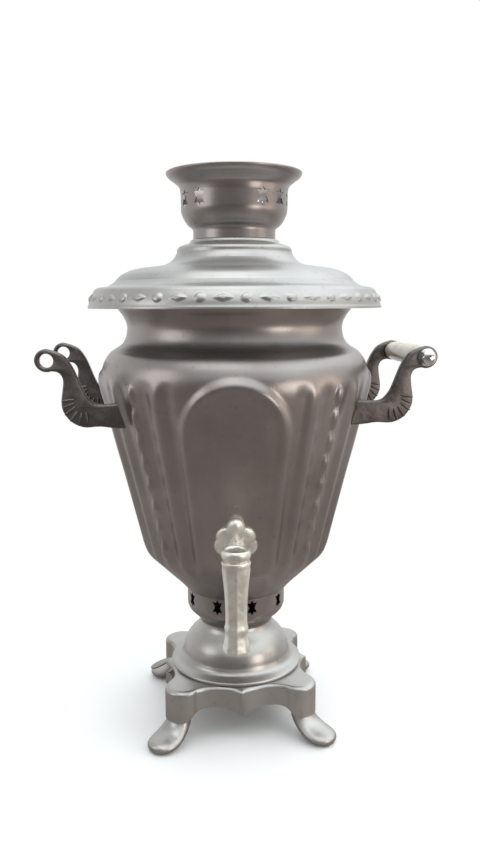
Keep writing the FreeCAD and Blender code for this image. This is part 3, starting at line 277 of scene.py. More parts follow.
chromeLook = dict(nickelLook, dark=(0.70, 0.70, 0.71), middle=(0.76, 0.76, 0.77), light=(0.82, 0.82, 0.83),
                  stainAmount=0.1, roughLow=0.06, roughHigh=0.14, grainBump=0.05, dentBump=0.02)

nickel = agedMetal("agedNickel", nickelLook)
litLidNickel = agedMetal("litLidNickel", litLidLook)
litStandNickel = agedMetal("litStandNickel", litStandLook)
litTapMetal = agedMetal("wornLitTapPlate", litTapLook)
bracketMetal = agedMetal("dullBracketPlate", bracketLook)
turnedBrass = agedMetal("turnedBrass", brassLook)
sootIron = agedMetal("sootyIron", sootLook)
panSteel = agedMetal("dullSheetSteel", steelLook)
capChrome = agedMetal("polishedCap", chromeLook)

ivory, nodes, links, shader = newMaterial("ivoryGrip")
shader.inputs["Subsurface Weight"].default_value = 0.12
shader.inputs["Subsurface Radius"].default_value = (0.004, 0.003, 0.0015)
shader.inputs["Coat Weight"].default_value = 0.4
shader.inputs["Roughness"].default_value = 0.3
place = nodes.new("ShaderNodeTexCoord")
cloud = nodes.new("ShaderNodeTexNoise")
cloud.inputs["Scale"].default_value = 45
cloud.inputs["Detail"].default_value = 5
links.new(place.outputs["Object"], cloud.inputs["Vector"])
ramp = nodes.new("ShaderNodeValToRGB")
ramp.color_ramp.elements[0].position = 0.32
ramp.color_ramp.elements[0].color = (0.52, 0.44, 0.30, 1)
ramp.color_ramp.elements[1].position = 0.6
ramp.color_ramp.elements[1].color = (0.76, 0.71, 0.58, 1)
links.new(cloud.outputs["Fac"], ramp.inputs["Fac"])
links.new(ramp.outputs["Color"], shader.inputs["Base Color"])

fibre, nodes, links, shader = newMaterial("redFibre")
shader.inputs["Roughness"].default_value = 0.8
cloud = nodes.new("ShaderNodeTexNoise")
cloud.inputs["Scale"].default_value = 400
ramp = nodes.new("ShaderNodeValToRGB")
ramp.color_ramp.elements[0].color = (0.16, 0.06, 0.04, 1)
ramp.color_ramp.elements[1].color = (0.32, 0.13, 0.08, 1)
links.new(cloud.outputs["Fac"], ramp.inputs["Fac"])
links.new(ramp.outputs["Color"], shader.inputs["Base Color"])

finishes = {
    "nickel": nickel, "nickel_light": litLidNickel, "foot_nickel": litStandNickel, "tap_nickel": litTapMetal,
    "bracket_bronze": bracketMetal, "tube_brass": turnedBrass, "brass": turnedBrass, "cast_iron": sootIron,
    "pan_steel": panSteel, "rod_steel": panSteel, "polished_chrome": capChrome, "ivory_plastic": ivory,
    "fibre": fibre,
}
for subpart in frame["record"]["subparts"]:
    node = frame["nodes"][subpart["node"]]
    node.data.materials.clear()
    node.data.materials.append(finishes[subpart["material_slot"]])
# The dome and plate take the lighter stand nickel, whose extra brightness is painted highlight
frame["nodes"]["base_dome"].data.materials[0] = litStandNickel
frame["nodes"]["base_plate"].data.materials[0] = litStandNickel


# Gives faces that look at the axis, within the given radius and heights, the near-black sootyIron finish
def blackenInwardFaces(piece, radius, low, high):
    piece.data.materials.append(sootIron)
    for face in piece.data.polygons:
        middle, normal = face.center, face.normal
        inwards = middle.x * normal.x + middle.y * normal.y < 0
        if inwards and low < middle.z / mm < high and middle.xy.length / mm < radius:
            face.material_index = 1


def dress(piece, material, body, slot, *nodes):
    piece.data.materials.append(material)
    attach(piece, body)
    if nodes:
        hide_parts(*nodes)


print("stage: vessel")
vessel = {
    "turn": -4.5, "wall": 1.2, "around": 720, "steps": 7,
    "profile": [(46.8, 125, 0), (54.9, 134), (61.0, 140), (70.1, 149), (78.4, 157.6), (82.2, 164),
                (84.3, 171.5), (92.3, 204), (100.1, 236), (108.3, 268), (116.0, 300.5), (118.4, 311),
                (119.8, 319), (119.9, 326), (118.7, 332), (116.3, 338), (112.0, 344), (107.3, 347.4),
                (102.9, 350.2), (99.6, 353.6), (97.2, 359), (96.2, 366), (97.2, 371.3), (100.1, 377),
                (104.0, 382.5), (107.2, 390), (109.2, 397), (110.0, 402.6, 0)],
    "reliefZ": (150, 336), "reliefFoot": (150, 176), "panelHalf": 22.5, "springZ": 285.0,
    "panelRise": 2.0, "panelEdge": (-4.5, 3.5), "borderRise": 0.9, "borderMiddle": 4.0, "borderWidth": 4.0,
    "fluteTop": (312, 329), "fluteFoot": (152, 172),
    "flutes": [(22.5, 0.0), (27.0, -1.5), (32.0, 1.6), (38.4, -1.5), (45.0, 0.9)],
    "beadFirst": 177.0, "beadPitch": 19.6, "beads": 8, "beadHalf": (4.6, 8.4), "beadRise": 2.3,
    "beadFullness": 0.6,
}
profileZ, profileR = zip(*sorted((p[1], p[0]) for p in vessel["profile"]))


# Height of the flutes at an angle off the panel's middle, rounded between the named stations
def fluteHeight(off):
    stations = vessel["flutes"]
    for (a, low), (b, high) in zip(stations, stations[1:]):
        if off <= b:
            t = max(0.0, (off - a) / (b - a))
            return low + (high - low) * (0.5 - 0.5 * math.cos(math.pi * t))
    return stations[-1][1]


def vesselLift(angle, z):
    if not vessel["reliefZ"][0] < z < vessel["reliefZ"][1]:
        return 0.0
    radius = float(np.interp(z, profileZ, profileR))
    off = (math.degrees(angle) + 45) % 90 - 45
    side = abs(off)
    topLow, topHigh = vessel["fluteTop"]
    envelope = smoothstep(topHigh, topLow, z) * smoothstep(*vessel["fluteFoot"], z)
    panelSine = math.sin(math.radians(vessel["panelHalf"]))
    half = radius * panelSine
    across = radius * math.sin(math.radians(min(side, 45)))
    springHalf = float(np.interp(vessel["springZ"], profileZ, profileR)) * panelSine
    if z > vessel["springZ"]:
        inside = springHalf - math.hypot(across, z - vessel["springZ"])
    else:
        inside = half - across
    foot = smoothstep(*vessel["reliefFoot"], z)
    lift = vessel["panelRise"] * smoothstep(*vessel["panelEdge"], inside) * foot
    lift += vessel["borderRise"] * bell(inside, vessel["borderMiddle"], vessel["borderWidth"]) * foot
    if side > vessel["panelHalf"]:
        lift += fluteHeight(side) * envelope
        along = radius * math.radians(45 - side)
        for k in range(vessel["beads"]):
            dz = (z - vessel["beadFirst"] - k * vessel["beadPitch"]) / vessel["beadHalf"][1]
            dx = along / vessel["beadHalf"][0]
            reach = 1 - dx * dx - dz * dz
            if reach > 0:
                lift += vessel["beadRise"] * reach ** vessel["beadFullness"]
    return lift


vesselLine = curveThrough(vessel["profile"], vessel["steps"])
vesselSkin = turnedSkin("vesselSkin", vesselLine, vessel["wall"], vessel["around"], vesselLift, 60)
turnAbout(vesselSkin, vessel["turn"])
dress(vesselSkin, nickel, "root", "nickel", "body_shell")

print("stage: lid")
lidForm = {
    "turn": -0.6, "wall": 1.2, "around": 1104, "steps": 6, "motifs": 23,
    "profile": [(130.1, 383.0, 0), (130.0, 384.4), (129.3, 386.2), (128.5, 389.5), (127.1, 393),
                (125.3, 396.3), (123.6, 398.9), (120.8, 400.6), (116.4, 401.2), (112.4, 402.1),
                (109.2, 403.8), (105.6, 406.4, 0), (104.2, 408.2), (100.6, 411.6), (95.4, 414.3),
                (88.6, 416.6), (80.0, 418.0), (70.5, 419.2), (63.0, 420.6), (58.0, 422.8), (54.6, 425.6, 0),
                (52.6, 428.3), (51.2, 431.2), (50.8, 434.0), (48.8, 436.4), (44.5, 438.0), (40.4, 439.4),
                (38.4, 442.1), (34.8, 442.2, 0)],
    "band": (385, 398), "midZ": 391.6, "bandRadius": 127.4,
    # half length, half height and rise of the two motifs, then the lozenge's own curve
    "bead": (4.2, 3.4, 1.5), "lozenge": (8.0, 3.0, 1.3), "lozengePower": 1.25, "lozengeFlat": 1.6,
}


def lidLift(angle, z):
    if not lidForm["band"][0] < z < lidForm["band"][1]:
        return 0.0
    pitch = 2 * math.pi / lidForm["motifs"]
    dz = z - lidForm["midZ"]
    lift = 0.0
    along = ((angle + pitch / 2) % pitch - pitch / 2) * lidForm["bandRadius"]
    wide, tall, rise = lidForm["bead"]
    reach = 1 - (along / wide) ** 2 - (dz / tall) ** 2
    if reach > 0:
        lift += rise * math.sqrt(reach)
    along = ((angle % pitch) - pitch / 2) * lidForm["bandRadius"]
    wide, tall, rise = lidForm["lozenge"]
    power = lidForm["lozengePower"]
    reach = 1 - abs(along / wide) ** power - abs(dz / tall) ** power
    if reach > 0:
        lift += rise * min(1.0, reach * lidForm["lozengeFlat"])
    return lift


lidLine = curveThrough(lidForm["profile"], lidForm["steps"])
lidSkin = turnedSkin("lidSkin", lidLine, lidForm["wall"], lidForm["around"], lidLift, 60)
turnAbout(lidSkin, lidForm["turn"])
dress(lidSkin, litLidNickel, "lid_body", "nickel_light", "lid")

print("stage: crown and vent ring")
halfStar = [(0, 0.5), (0.16, 0.3), (0.5, 0.34), (0.26, 0.0), (0.5, -0.34), (0.16, -0.3), (0, -0.5)]
starCorners = halfStar + [(-x, h) for x, h in halfStar[-2:0:-1]]
starEdgeDegrees = 38


# Star cut-out as a prism that runs outwards along -Y
def starPrism(spec):
    corners = [(x * spec["width"], spec["z"] + h * spec["height"]) for x, h in starCorners]
    verts = [(x * mm, -y * mm, h * mm) for y in spec["reach"] for x, h in corners]
    count = len(corners)
    faces = [tuple(range(count)), tuple(range(2 * count - 1, count - 1, -1))]
    faces += [(i, i + count, (i + 1) % count + count, (i + 1) % count) for i in range(count)]
    return verts, faces


# Applies exact cuts and throws the cutters away
def cutAll(piece, cutters):
    for cutter in cutters:
        cut = piece.modifiers.new("cut", "BOOLEAN")
        cut.operation = "DIFFERENCE"
        cut.solver = "EXACT"
        cut.object = cutter
    bpy.context.view_layer.update()
    graph = bpy.context.evaluated_depsgraph_get()
    mesh = bpy.data.meshes.new_from_object(piece.evaluated_get(graph))
    piece.modifiers.clear()
    piece.data = mesh
    for cutter in cutters:
        bpy.data.objects.remove(cutter)


def starHoles(piece, name, spec, headings):
    cutters = []
    for i, heading in enumerate(headings):
        cutter = outwards(makeMesh("%s_cutter_%d" % (name, i), *starPrism(spec)))
        turnAbout(cutter, heading)
        cutters.append(cutter)
    cutAll(piece, cutters)
    for face in piece.data.polygons:
        face.use_smooth = True
    piece.data.set_sharp_from_angle(angle=math.radians(starEdgeDegrees))


crown = {
    "wall": 1.2, "around": 360, "steps": 7,
    "profile": [(36.5, 442.6, 0), (36.4, 446.5), (36.4, 450.0), (37.4, 452.2), (40.9, 455), (43.2, 458),
                (44.9, 461), (46.2, 464), (46.9, 467), (47.0, 471), (47.0, 479), (47.2, 483.0),
                (48.4, 487.6), (51.2, 490.6), (54.6, 493.2), (57.6, 495.4), (59.3, 497.6), (59.8, 499.2),
                (58.9, 499.95, 0)],
    "star": {"width": 11.6, "height": 15.6, "z": 475.6, "reach": (30, 66)},
    "headings": [60 + 25 * i + 120 * k - 8.5 for i in (-1, 0, 1) for k in range(3)],
}
crownLine = curveThrough(crown["profile"], crown["steps"])
crownSkin = turnedSkin("crownSkin", crownLine, crown["wall"], crown["around"])
starHoles(crownSkin, "crown", crown["star"], crown["headings"])
dress(crownSkin, nickel, "crown_body", "nickel", "crown")

vent = {
    "wall": 1.2, "around": 360, "steps": 6,
    "profile": [(33.6, 91.4, 0), (33.8, 92.6), (35.2, 95), (38.2, 98), (41.4, 101), (44.0, 104), (45.2, 107),
                (45.7, 110), (45.7, 122), (45.6, 124.9, 0)],
    "star": {"width": 9.4, "height": 14.4, "z": 116.6, "reach": (30, 54)},
    "headings": [20 + 40 * k - 1.6 - 4.5 for k in range(9)],
}
ventLine = curveThrough(vent["profile"], vent["steps"])
ventSkin = turnedSkin("ventSkin", ventLine, vent["wall"], vent["around"])
starHoles(ventSkin, "vent", vent["star"], vent["headings"])
dress(ventSkin, nickel, "root", "nickel", "vent_ring")
blackenInwardFaces(ventSkin, 46, 92, 124.5)

print("stage: stand")
dome = {
    "wall": 1.2, "around": 300, "steps": 7,
    "profile": [(56.6, 50.1, 0), (60.5, 50.1), (61.4, 50.9), (61.5, 52.0), (60.8, 52.9), (58.6, 53.8),
                (55.8, 54.7), (53.4, 56.0), (51.8, 57.8), (50.9, 59.8), (50.2, 61.8), (49.2, 66.6),
                (46.9, 72.9), (43.0, 78.6), (38.6, 83.2), (36.0, 86.2), (34.4, 89.0), (33.7, 91.3, 0)],
}
domeLine = curveThrough(dome["profile"], dome["steps"])
domeSkin = turnedSkin("domeSkin", domeLine, dome["wall"], dome["around"], None, 50)
dress(domeSkin, litStandNickel, "root", "nickel_light", "base_dome")
blackenInwardFaces(domeSkin, 56, 51, 91)

plate = {
    "cusp": 68.0, "cornerCentre": 52.0, "cornerRadius": 16.0, "hollowBulge": 0.3, "top": 50.0, "wall": 2.0,
    "innerRound": 2.2, "round": 3.8, "roundSteps": 10, "levelShares": (0, 0.25, 0.5, 0.75),
    "hole": 35.0, "hollowSteps": 34, "cornerSteps": 26,
    "skirt": [(0, 26.0), (3, 26.4), (6, 27.2), (9, 28.0), (13, 29.0), (18, 29.9), (24, 30.6), (30, 31.0),
              (35, 30.8), (39, 29.8), (42, 27.8), (45, 24.8), (48, 22.4), (52, 21.1), (70, 21.0)],
    # degrees from the corner, radius at which the rounded edge meets the flat top
    "shoulder": [(0, 83.2), (4, 82.6), (8, 79.0), (12, 71.0), (16, 65.0), (20, 61.0), (26, 57.6), (34, 57.0),
                 (45, 57.4)],
    "slot": (36.4, 46.0, 31.0),
}


# Points from start towards end along an arc; bulge is the tangent of a quarter of its angle
def arcPoints(start, end, bulge, steps):
    run = end - start
    middle = (start + end) / 2 + Vector((run.y, -run.x)) * (bulge / 2)
    a, b, c = start, middle, end
    d = 2 * (a.x * (b.y - c.y) + b.x * (c.y - a.y) + c.x * (a.y - b.y))
    aa, bb, cc = a.length_squared, b.length_squared, c.length_squared
    centre = Vector(((aa * (b.y - c.y) + bb * (c.y - a.y) + cc * (a.y - b.y)) / d,
                     (aa * (c.x - b.x) + bb * (a.x - c.x) + cc * (b.x - a.x)) / d))
    first = math.atan2(a.y - centre.y, a.x - centre.x)
    sweep = -4 * math.atan(bulge)
    if (Matrix.Rotation(sweep, 2) @ (a - centre) + centre - c).length > 1e-3:
        sweep = -sweep
    radius = (a - centre).length
    turns = [first + sweep * i / steps for i in range(steps)]
    return [centre + radius * Vector((math.cos(turn), math.sin(turn))) for turn in turns]


def plateOutline(spec):
    reach = spec["cornerRadius"] * math.sqrt(0.5)
    centre = spec["cornerCentre"]
    nodesAround = [(Vector((0, -spec["cusp"])), -spec["hollowBulge"], spec["hollowSteps"]),
                   (Vector((centre - reach, -centre - reach)), 0.4142, spec["cornerSteps"]),
                   (Vector((centre + reach, -centre - reach)), 0.4142, spec["cornerSteps"]),
                   (Vector((centre + reach, -centre + reach)), -spec["hollowBulge"], spec["hollowSteps"]),
                   (Vector((spec["cusp"], 0)), 0, 0)]
    side = []
    for (start, bulge, steps), (end, x, y) in zip(nodesAround, nodesAround[1:]):
        side += arcPoints(start, end, bulge, steps)
    whole = []
    for quarter in range(4):
        whole += [Matrix.Rotation(math.pi / 2 * quarter, 2) @ p for p in side]
    return whole


outline = plateOutline(plate)
count = len(outline)
normals = []
for i in range(count):
    run = (outline[(i + 1) % count] - outline[i - 1]).normalized()
    normals.append(Vector((run.y, -run.x)))
skirtX, skirtZ = zip(*plate["skirt"])
shoulderTurn, shoulderR = zip(*curveThrough(plate["shoulder"], 6))
topEdge = []
for p in outline:
    fromCorner = abs(math.degrees(math.atan2(p.y, p.x)) % 90 - 45)
    topEdge.append(p.normalized() * float(np.interp(fromCorner, shoulderTurn, shoulderR)))


def skirtLow(point):
    across = min(abs(point.x), abs(point.y))
    return float(np.interp(across, skirtX, skirtZ))


slotLow, slotHigh, slotHalf = plate["slot"]
wallTop = plate["top"] - plate["round"]
levels = [(p, n, skirtLow(p)) for p, n in zip(outline, normals)]
rings = [[(p, low + (slotLow - low) * share) for p, n, low in levels] for share in plate["levelShares"]]
outerSlot = len(rings)
rings += [[(p, z) for p in outline] for z in (slotLow, slotHigh, wallTop)]
for step in range(1, plate["roundSteps"] + 1):
    angle = math.pi / 2 * step / plate["roundSteps"]
    z = wallTop + plate["round"] * math.sin(angle)
    rings.append([(p.lerp(q, 1 - math.cos(angle)), z) for p, q in zip(outline, topEdge)])
underside = plate["top"] - plate["wall"]
inset = plate["wall"] + plate["innerRound"]
rings.append([(p.normalized() * plate["hole"], plate["top"]) for p in outline])
rings.append([(p.normalized() * plate["hole"], underside) for p in outline])
rings.append([(p - n * inset, underside) for p, n in zip(outline, normals)])
innerSlot = len(rings)
rings += [[(p - n * plate["wall"], z) for p, n in zip(outline, normals)] for z in (slotHigh, slotLow)]
rings.append([(p - n * plate["wall"], low) for p, n, low in levels])
verts = [(p.x * mm, p.y * mm, z * mm) for ring in rings for p, z in ring]
slotColumns = [j for j in range(count) if outline[j].x < 0 and abs(outline[j].y) < slotHalf
               and abs(outline[(j + 1) % count].y) < slotHalf]
faces = []
for i in range(len(rings)):
    low, high = i * count, (i + 1) % len(rings) * count
    gap = set(slotColumns) if i in (outerSlot, innerSlot) else ()
    faces += [(low + j, low + (j + 1) % count, high + (j + 1) % count, high + j)
              for j in range(count) if j not in gap]
for outside, inside in ((outerSlot, innerSlot + 1), (outerSlot + 1, innerSlot)):
    low, high = outside * count, inside * count
    faces += [(low + j, low + (j + 1) % count, high + (j + 1) % count, high + j) for j in slotColumns]
for j in (min(slotColumns), max(slotColumns) + 1):
    faces.append(tuple(ring * count + j for ring in (outerSlot, outerSlot + 1, innerSlot, innerSlot + 1)))
plateSkin = outwards(makeMesh("plateSkin", verts, faces, 40))
dress(plateSkin, litStandNickel, "root", "nickel_light", "base_plate")

foot = {
    # distance from the axis, height, half width across, half thickness along the line's normal
    "line": [(76.0, 47.6, 10.4, 10.4), (76.4, 40.0, 10.6, 10.6), (76.8, 32.0, 10.6, 10.4),
             (77.4, 25.0, 10.8, 10.0), (79.6, 18.6, 11.6, 9.0), (84.0, 13.0, 13.0, 7.8),
             (90.0, 8.8, 14.2, 7.0), (97.0, 6.2, 14.6, 6.6), (103.5, 5.2, 13.4, 5.8),
             (108.5, 4.6, 10.4, 4.8), (111.4, 4.2, 6.0, 3.4), (112.3, 4.0, 2.2, 1.6)],
    "around": 28, "steps": 5,
}
footLine = []
for k in range(4):
    column = [(row[k], i) for i, row in enumerate(foot["line"])]
    footLine.append([p[0] for p in curveThrough(column, foot["steps"])])
footRows = list(zip(*footLine))
for side, heading in (("front_left", -45), ("front_right", 45), ("back_right", 135), ("back_left", -135)):
    rings = []
    for i, (reach, height, wide, thick) in enumerate(footRows):
        ahead, behind = footRows[min(i + 1, len(footRows) - 1)], footRows[max(i - 1, 0)]
        run = Vector((ahead[0] - behind[0], ahead[1] - behind[1])).normalized()
        ring = []
        for j in range(foot["around"]):
            angle = 2 * math.pi * j / foot["around"]
            over = thick * math.sin(angle)
            ring.append((wide * math.cos(angle), run.y * over - reach, max(height + run.x * over, 0.0)))
        rings.append(ring)
    piece = makeMesh("foot_skin_" + side, *scaled([loft(rings)]), 60)
    turnAbout(piece, heading)
    dress(piece, litStandNickel, "root", "foot_nickel", "foot_" + side)

print("stage: tap")
tap = {
    "reach": 138.4, "arris": 3.0, "lift": 1.5,
    # radius, height, and how round the section is
    "column": [(8.2, 118.05, 1), (9.8, 118.0, 0), (10.7, 118.5, 0), (11.0, 119.4, 0), (10.8, 120.8, 0),
               (10.2, 124.0, 0), (9.5, 128.0, 0), (9.0, 131.4, 0), (8.9, 133.4, 0), (9.2, 135.0, 0),
               (9.5, 136.6, 0), (9.4, 138.4, 0), (8.9, 140.2, 0), (8.6, 142.6, 0), (8.6, 150, 0),
               (8.9, 158, 0), (9.3, 166, 0), (9.9, 173, 0), (10.5, 178.4, 0), (10.9, 182, 0.1),
               (11.1, 184.6, 0.3), (10.9, 186.2, 0.7), (10.9, 187.4, 1), (11.2, 188.8, 1), (11.3, 190.0, 1),
               (11.0, 191.1, 1), (10.4, 191.55, 1), (9.35, 191.55, 1)],
    "bore": [(9.3, 188.0), (6.95, 157.0), (4.2, 156.5), (4.2, 138.0), (8.2, 118.05)],
    "shank": [(-133.0, 181.0, 7.6, 6.6), (-120.0, 183.4, 7.4, 6.8), (-112.0, 186.6, 7.4, 7.2),
              (-104.0, 189.4, 7.8, 7.8), (-98.0, 190.2, 8.2, 8.2), (-92.0, 190.4, 8.6, 8.6)],
    "pipe": [(-130.0, 7.4), (-80.0, 7.4)], "pipeZ": 180.0,
}


def columnRing(radius, z, roundness):
    points = []
    flat = radius * math.cos(math.pi / 8)
    for corner in range(8):
        for off in (-18.0, -9.0, -tap["arris"], tap["arris"], 9.0, 18.0):
            angle = math.radians(45 * corner + off)
            face = flat / math.cos(math.radians(22.5 - abs(off)))
            flatReach = min(face, radius * math.cos(math.radians(tap["arris"])))
            reach = flatReach * (1 - roundness) + radius * roundness
            points.append((reach * math.sin(angle), -tap["reach"] - reach * math.cos(angle), z + tap["lift"]))
    return points


columnRings = [columnRing(*row) for row in tap["column"]] + [columnRing(r, z, 1) for r, z in tap["bore"][:-1]]
columnSkin = loft(columnRings, False, False)
closeRings(columnSkin, columnRings)


def lyingRing(y, z, wide, tall, steps=40):
    return [(wide * math.cos(2 * math.pi * j / steps), y, z + tall * math.sin(2 * math.pi * j / steps))
            for j in range(steps)]


shankPath = curveThrough([(row[0], row[1]) for row in tap["shank"]], 5)
shankRings = [lyingRing(y, z, float(np.interp(y, [r[0] for r in tap["shank"]], [r[2] for r in tap["shank"]])),
                        float(np.interp(y, [r[0] for r in tap["shank"]], [r[3] for r in tap["shank"]])))
              for y, z in shankPath]
pipeRings = [lyingRing(y, tap["pipeZ"], r, r) for y, r in tap["pipe"]]
tapSkin = outwards(makeMesh("tapSkin", *scaled([columnSkin, loft(shankRings), loft(pipeRings)]), 30))
turnAbout(tapSkin, vessel["turn"])
dress(tapSkin, litTapMetal, "root", "tap_nickel", "tap_body")

plug = {
    "outer": [(6.9, 158.2, 0), (9.25, 191.4, 0), (9.3, 193.0), (10.2, 193.3), (10.9, 194.2), (11.3, 196.0),
              (11.3, 197.8), (10.9, 199.4), (10.0, 200.4), (9.1, 200.6), (8.2, 200.1), (7.7, 199.0),
              (7.6, 197.5, 0), (7.5, 187.6, 0), (3.4, 187.2, 0), (3.4, 172.0, 0), (3.4, 158.2, 0)],
    "around": 64, "steps": 4,
}
plugLine = curveThrough(plug["outer"], plug["steps"])
plugTurns = [2 * math.pi * j / plug["around"] for j in range(plug["around"])]
plugRings = [[(r * math.sin(a), -tap["reach"] - r * math.cos(a), z + tap["lift"]) for a in plugTurns]
             for r, z in plugLine]
plugForm = loft(plugRings, False, False)
closeRings(plugForm, plugRings)
plugSkin = outwards(makeMesh("plugSkin", *scaled([plugForm]), 40))
turnAbout(plugSkin, vessel["turn"])
dress(plugSkin, litTapMetal, "plug_body", "tap_nickel", "tap_plug")

shield = {
    # middle x and z, half width, half height, rise, fullness
    "lobes": [(0, 205.4, 8.1, 9.6, 9.6, 0.5), (0, 196.5, 5.4, 15.0, 8.8, 0.5),
              (-8.0, 197.0, 8.6, 9.4, 5.2, 0.45), (8.0, 197.0, 8.6, 9.4, 5.2, 0.45),
              (-8.0, 189.4, 10.0, 9.8, 3.6, 0.4), (8.0, 189.4, 10.0, 9.8, 3.6, 0.4),
              (0, 183.6, 13.2, 13.6, 3.4, 0.4)],
    "blend": 4,
    "x": (-19.0, 19.0, 116), "z": (168.4, 216.8, 144), "sink": 0.9, "back": 1.0,
}


def panelSkinRadius(z):
    return float(np.interp(z, profileZ, profileR)) + vessel["panelRise"]


def shieldRise(x, z):
    pile, outside = 0.0, -shield["sink"]
    for middleX, middleZ, wide, tall, rise, fullness in shield["lobes"]:
        reach = 1 - ((x - middleX) / wide) ** 2 - ((z - middleZ) / tall) ** 2
        if reach > 0:
            pile += (rise * reach ** fullness) ** shield["blend"]
        else:
            outside = max(outside, reach * rise * 2)
    return pile ** (1 / shield["blend"]) if pile else outside


xs = np.linspace(*shield["x"])
zs = np.linspace(*shield["z"])
outer, inner = [], []
for z in zs:
    radius = panelSkinRadius(z)
    for x in xs:
        drop = radius - math.sqrt(radius * radius - x * x)
        rise = shieldRise(x, z)
        outer.append((x, -(radius - drop + rise), z + rise * 0.28))
        inner.append((x, -(radius - drop - shield["back"]), z))
wide, tall = len(xs), len(zs)
faces = []
for i in range(tall - 1):
    for j in range(wide - 1):
        a = i * wide + j
        faces.append((a, a + 1, a + wide + 1, a + wide))
        b = a + wide * tall
        faces.append((b + wide, b + wide + 1, b + 1, b))
rim = list(range(wide)) + [i * wide + wide - 1 for i in range(1, tall)]
rim += [(tall - 1) * wide + j for j in range(wide - 2, -1, -1)] + [i * wide for i in range(tall - 2, 0, -1)]
faces += [(rim[i], rim[i] + wide * tall, rim[(i + 1) % len(rim)] + wide * tall, rim[(i + 1) % len(rim)])
          for i in range(len(rim))]
shieldSkin = outwards(makeMesh("shieldSkin", *scaled([(outer + inner, faces)]), 60))
turnAbout(shieldSkin, vessel["turn"])
dress(shieldSkin, litTapMetal, "root", "tap_nickel", "tap_escutcheon")

print("stage: handles")
bracket = {
    "eye": 9.6, "hole": 5.9, "reach": 160.2, "spread": 53.3, "z": 340.9, "half": 4.3, "bevel": 1.5,
    "outline": [(0, 1, -0.08, 8), (1.54, 0.42, -0.06, 6), (2.34, -0.83, 0, 6), (3.06, -2.71, 0.12, 6),
                (3.86, -3.74, 0.1, 6), (4.75, -3.86, 0, 3), (7.4, -3.7, 0, 12), (7.4, -5.97, 0, 3),
                (5.5, -5.94, 0.05, 4), (4.5, -5.75, 0.05, 4), (3.4, -5.85, -0.16, 9), (1.95, -5.3, -0.14, 9),
                (1.2, -4.1, -0.1, 7), (1.28, -2.8, 0, 3), (1.42, -1.8, 0.22, 7), (0.95, -0.93, 0, 2),
                (0.42, -0.9, -0.5, 16), (-1.0, 0, -0.42, 14)],
    "smooth": 3, "smoothUpTo": 6.0, "eyeRound": 1.12, "wallSink": 0.8, "around": 48,
    # middle of the fan in units of the eye, then the heading and reach of each rib
    "fan": (3.3, -3.2), "fanTurns": [(188, 20.5), (203, 21.5), (219, 23), (236, 24), (253, 24), (270, 23)],
    "rib": (5.6, 1.35, 1.25),
    # share of the bevel by which the outline and the eye draw in, at each layer across
    "softEdge": 0.3, "eyeBevel": 0.5,
}


# Outline as distance towards the vessel and height from the eye, lightly smoothed
def bracketLine():
    rows = bracket["outline"]
    points = []
    for i, (x, z, bulge, steps) in enumerate(rows):
        nextX, nextZ = rows[(i + 1) % len(rows)][:2]
        start, end = Vector((x, z)), Vector((nextX, nextZ))
        if bulge:
            points += arcPoints(start, end, bulge, steps)
        else:
            points += [start.lerp(end, s / steps) for s in range(steps)]
    for number in range(bracket["smooth"]):
        fresh = []
        for i, p in enumerate(points):
            if p.x > bracket["smoothUpTo"] or p.length < bracket["eyeRound"]:
                fresh.append(p)
            else:
                fresh.append(p * 0.5 + (points[i - 1] + points[(i + 1) % len(points)]) * 0.25)
        points = fresh
    return [p * bracket["eye"] for p in points]


# Small closed ball stretched along three given half axes
def ellipsoid(middle, along, across, up, rings=10, around=14):
    verts = [middle + along]
    for i in range(1, rings):
        a = math.pi * i / rings
        for j in range(around):
            b = 2 * math.pi * j / around
            sideways = across * math.cos(b) + up * math.sin(b)
            verts.append(middle + along * math.cos(a) + sideways * math.sin(a))
    verts.append(middle - along)
    faces = [(0, 1 + j, 1 + (j + 1) % around) for j in range(around)]
    for i in range(rings - 2):
        low, high = 1 + i * around, 1 + (i + 1) * around
        faces += [(low + j, high + j, high + (j + 1) % around, low + (j + 1) % around) for j in range(around)]
    last = len(verts) - 1
    faces += [(last, last - around + (j + 1) % around, last - around + j) for j in range(around)]
    return [tuple(v) for v in verts], faces


bracketPoints = bracketLine()
count = len(bracketPoints)
bracketNormals = []
for i in range(count):
    run = (bracketPoints[(i + 1) % count] - bracketPoints[i - 1]).normalized()
    bracketNormals.append(Vector((-run.y, run.x)))


# Places an outline point, and stops it just inside the vessel's wall
def bracketVert(point, across, signX, signY):
    y = bracket["spread"] * signY + across
    z = bracket["z"] + point.y
    x = bracket["reach"] - point.x
    wallR = float(np.interp(z, profileZ, profileR)) - bracket["wallSink"]
    x = max(x, math.sqrt(wallR * wallR - y * y))
    return (x * signX, y, z)


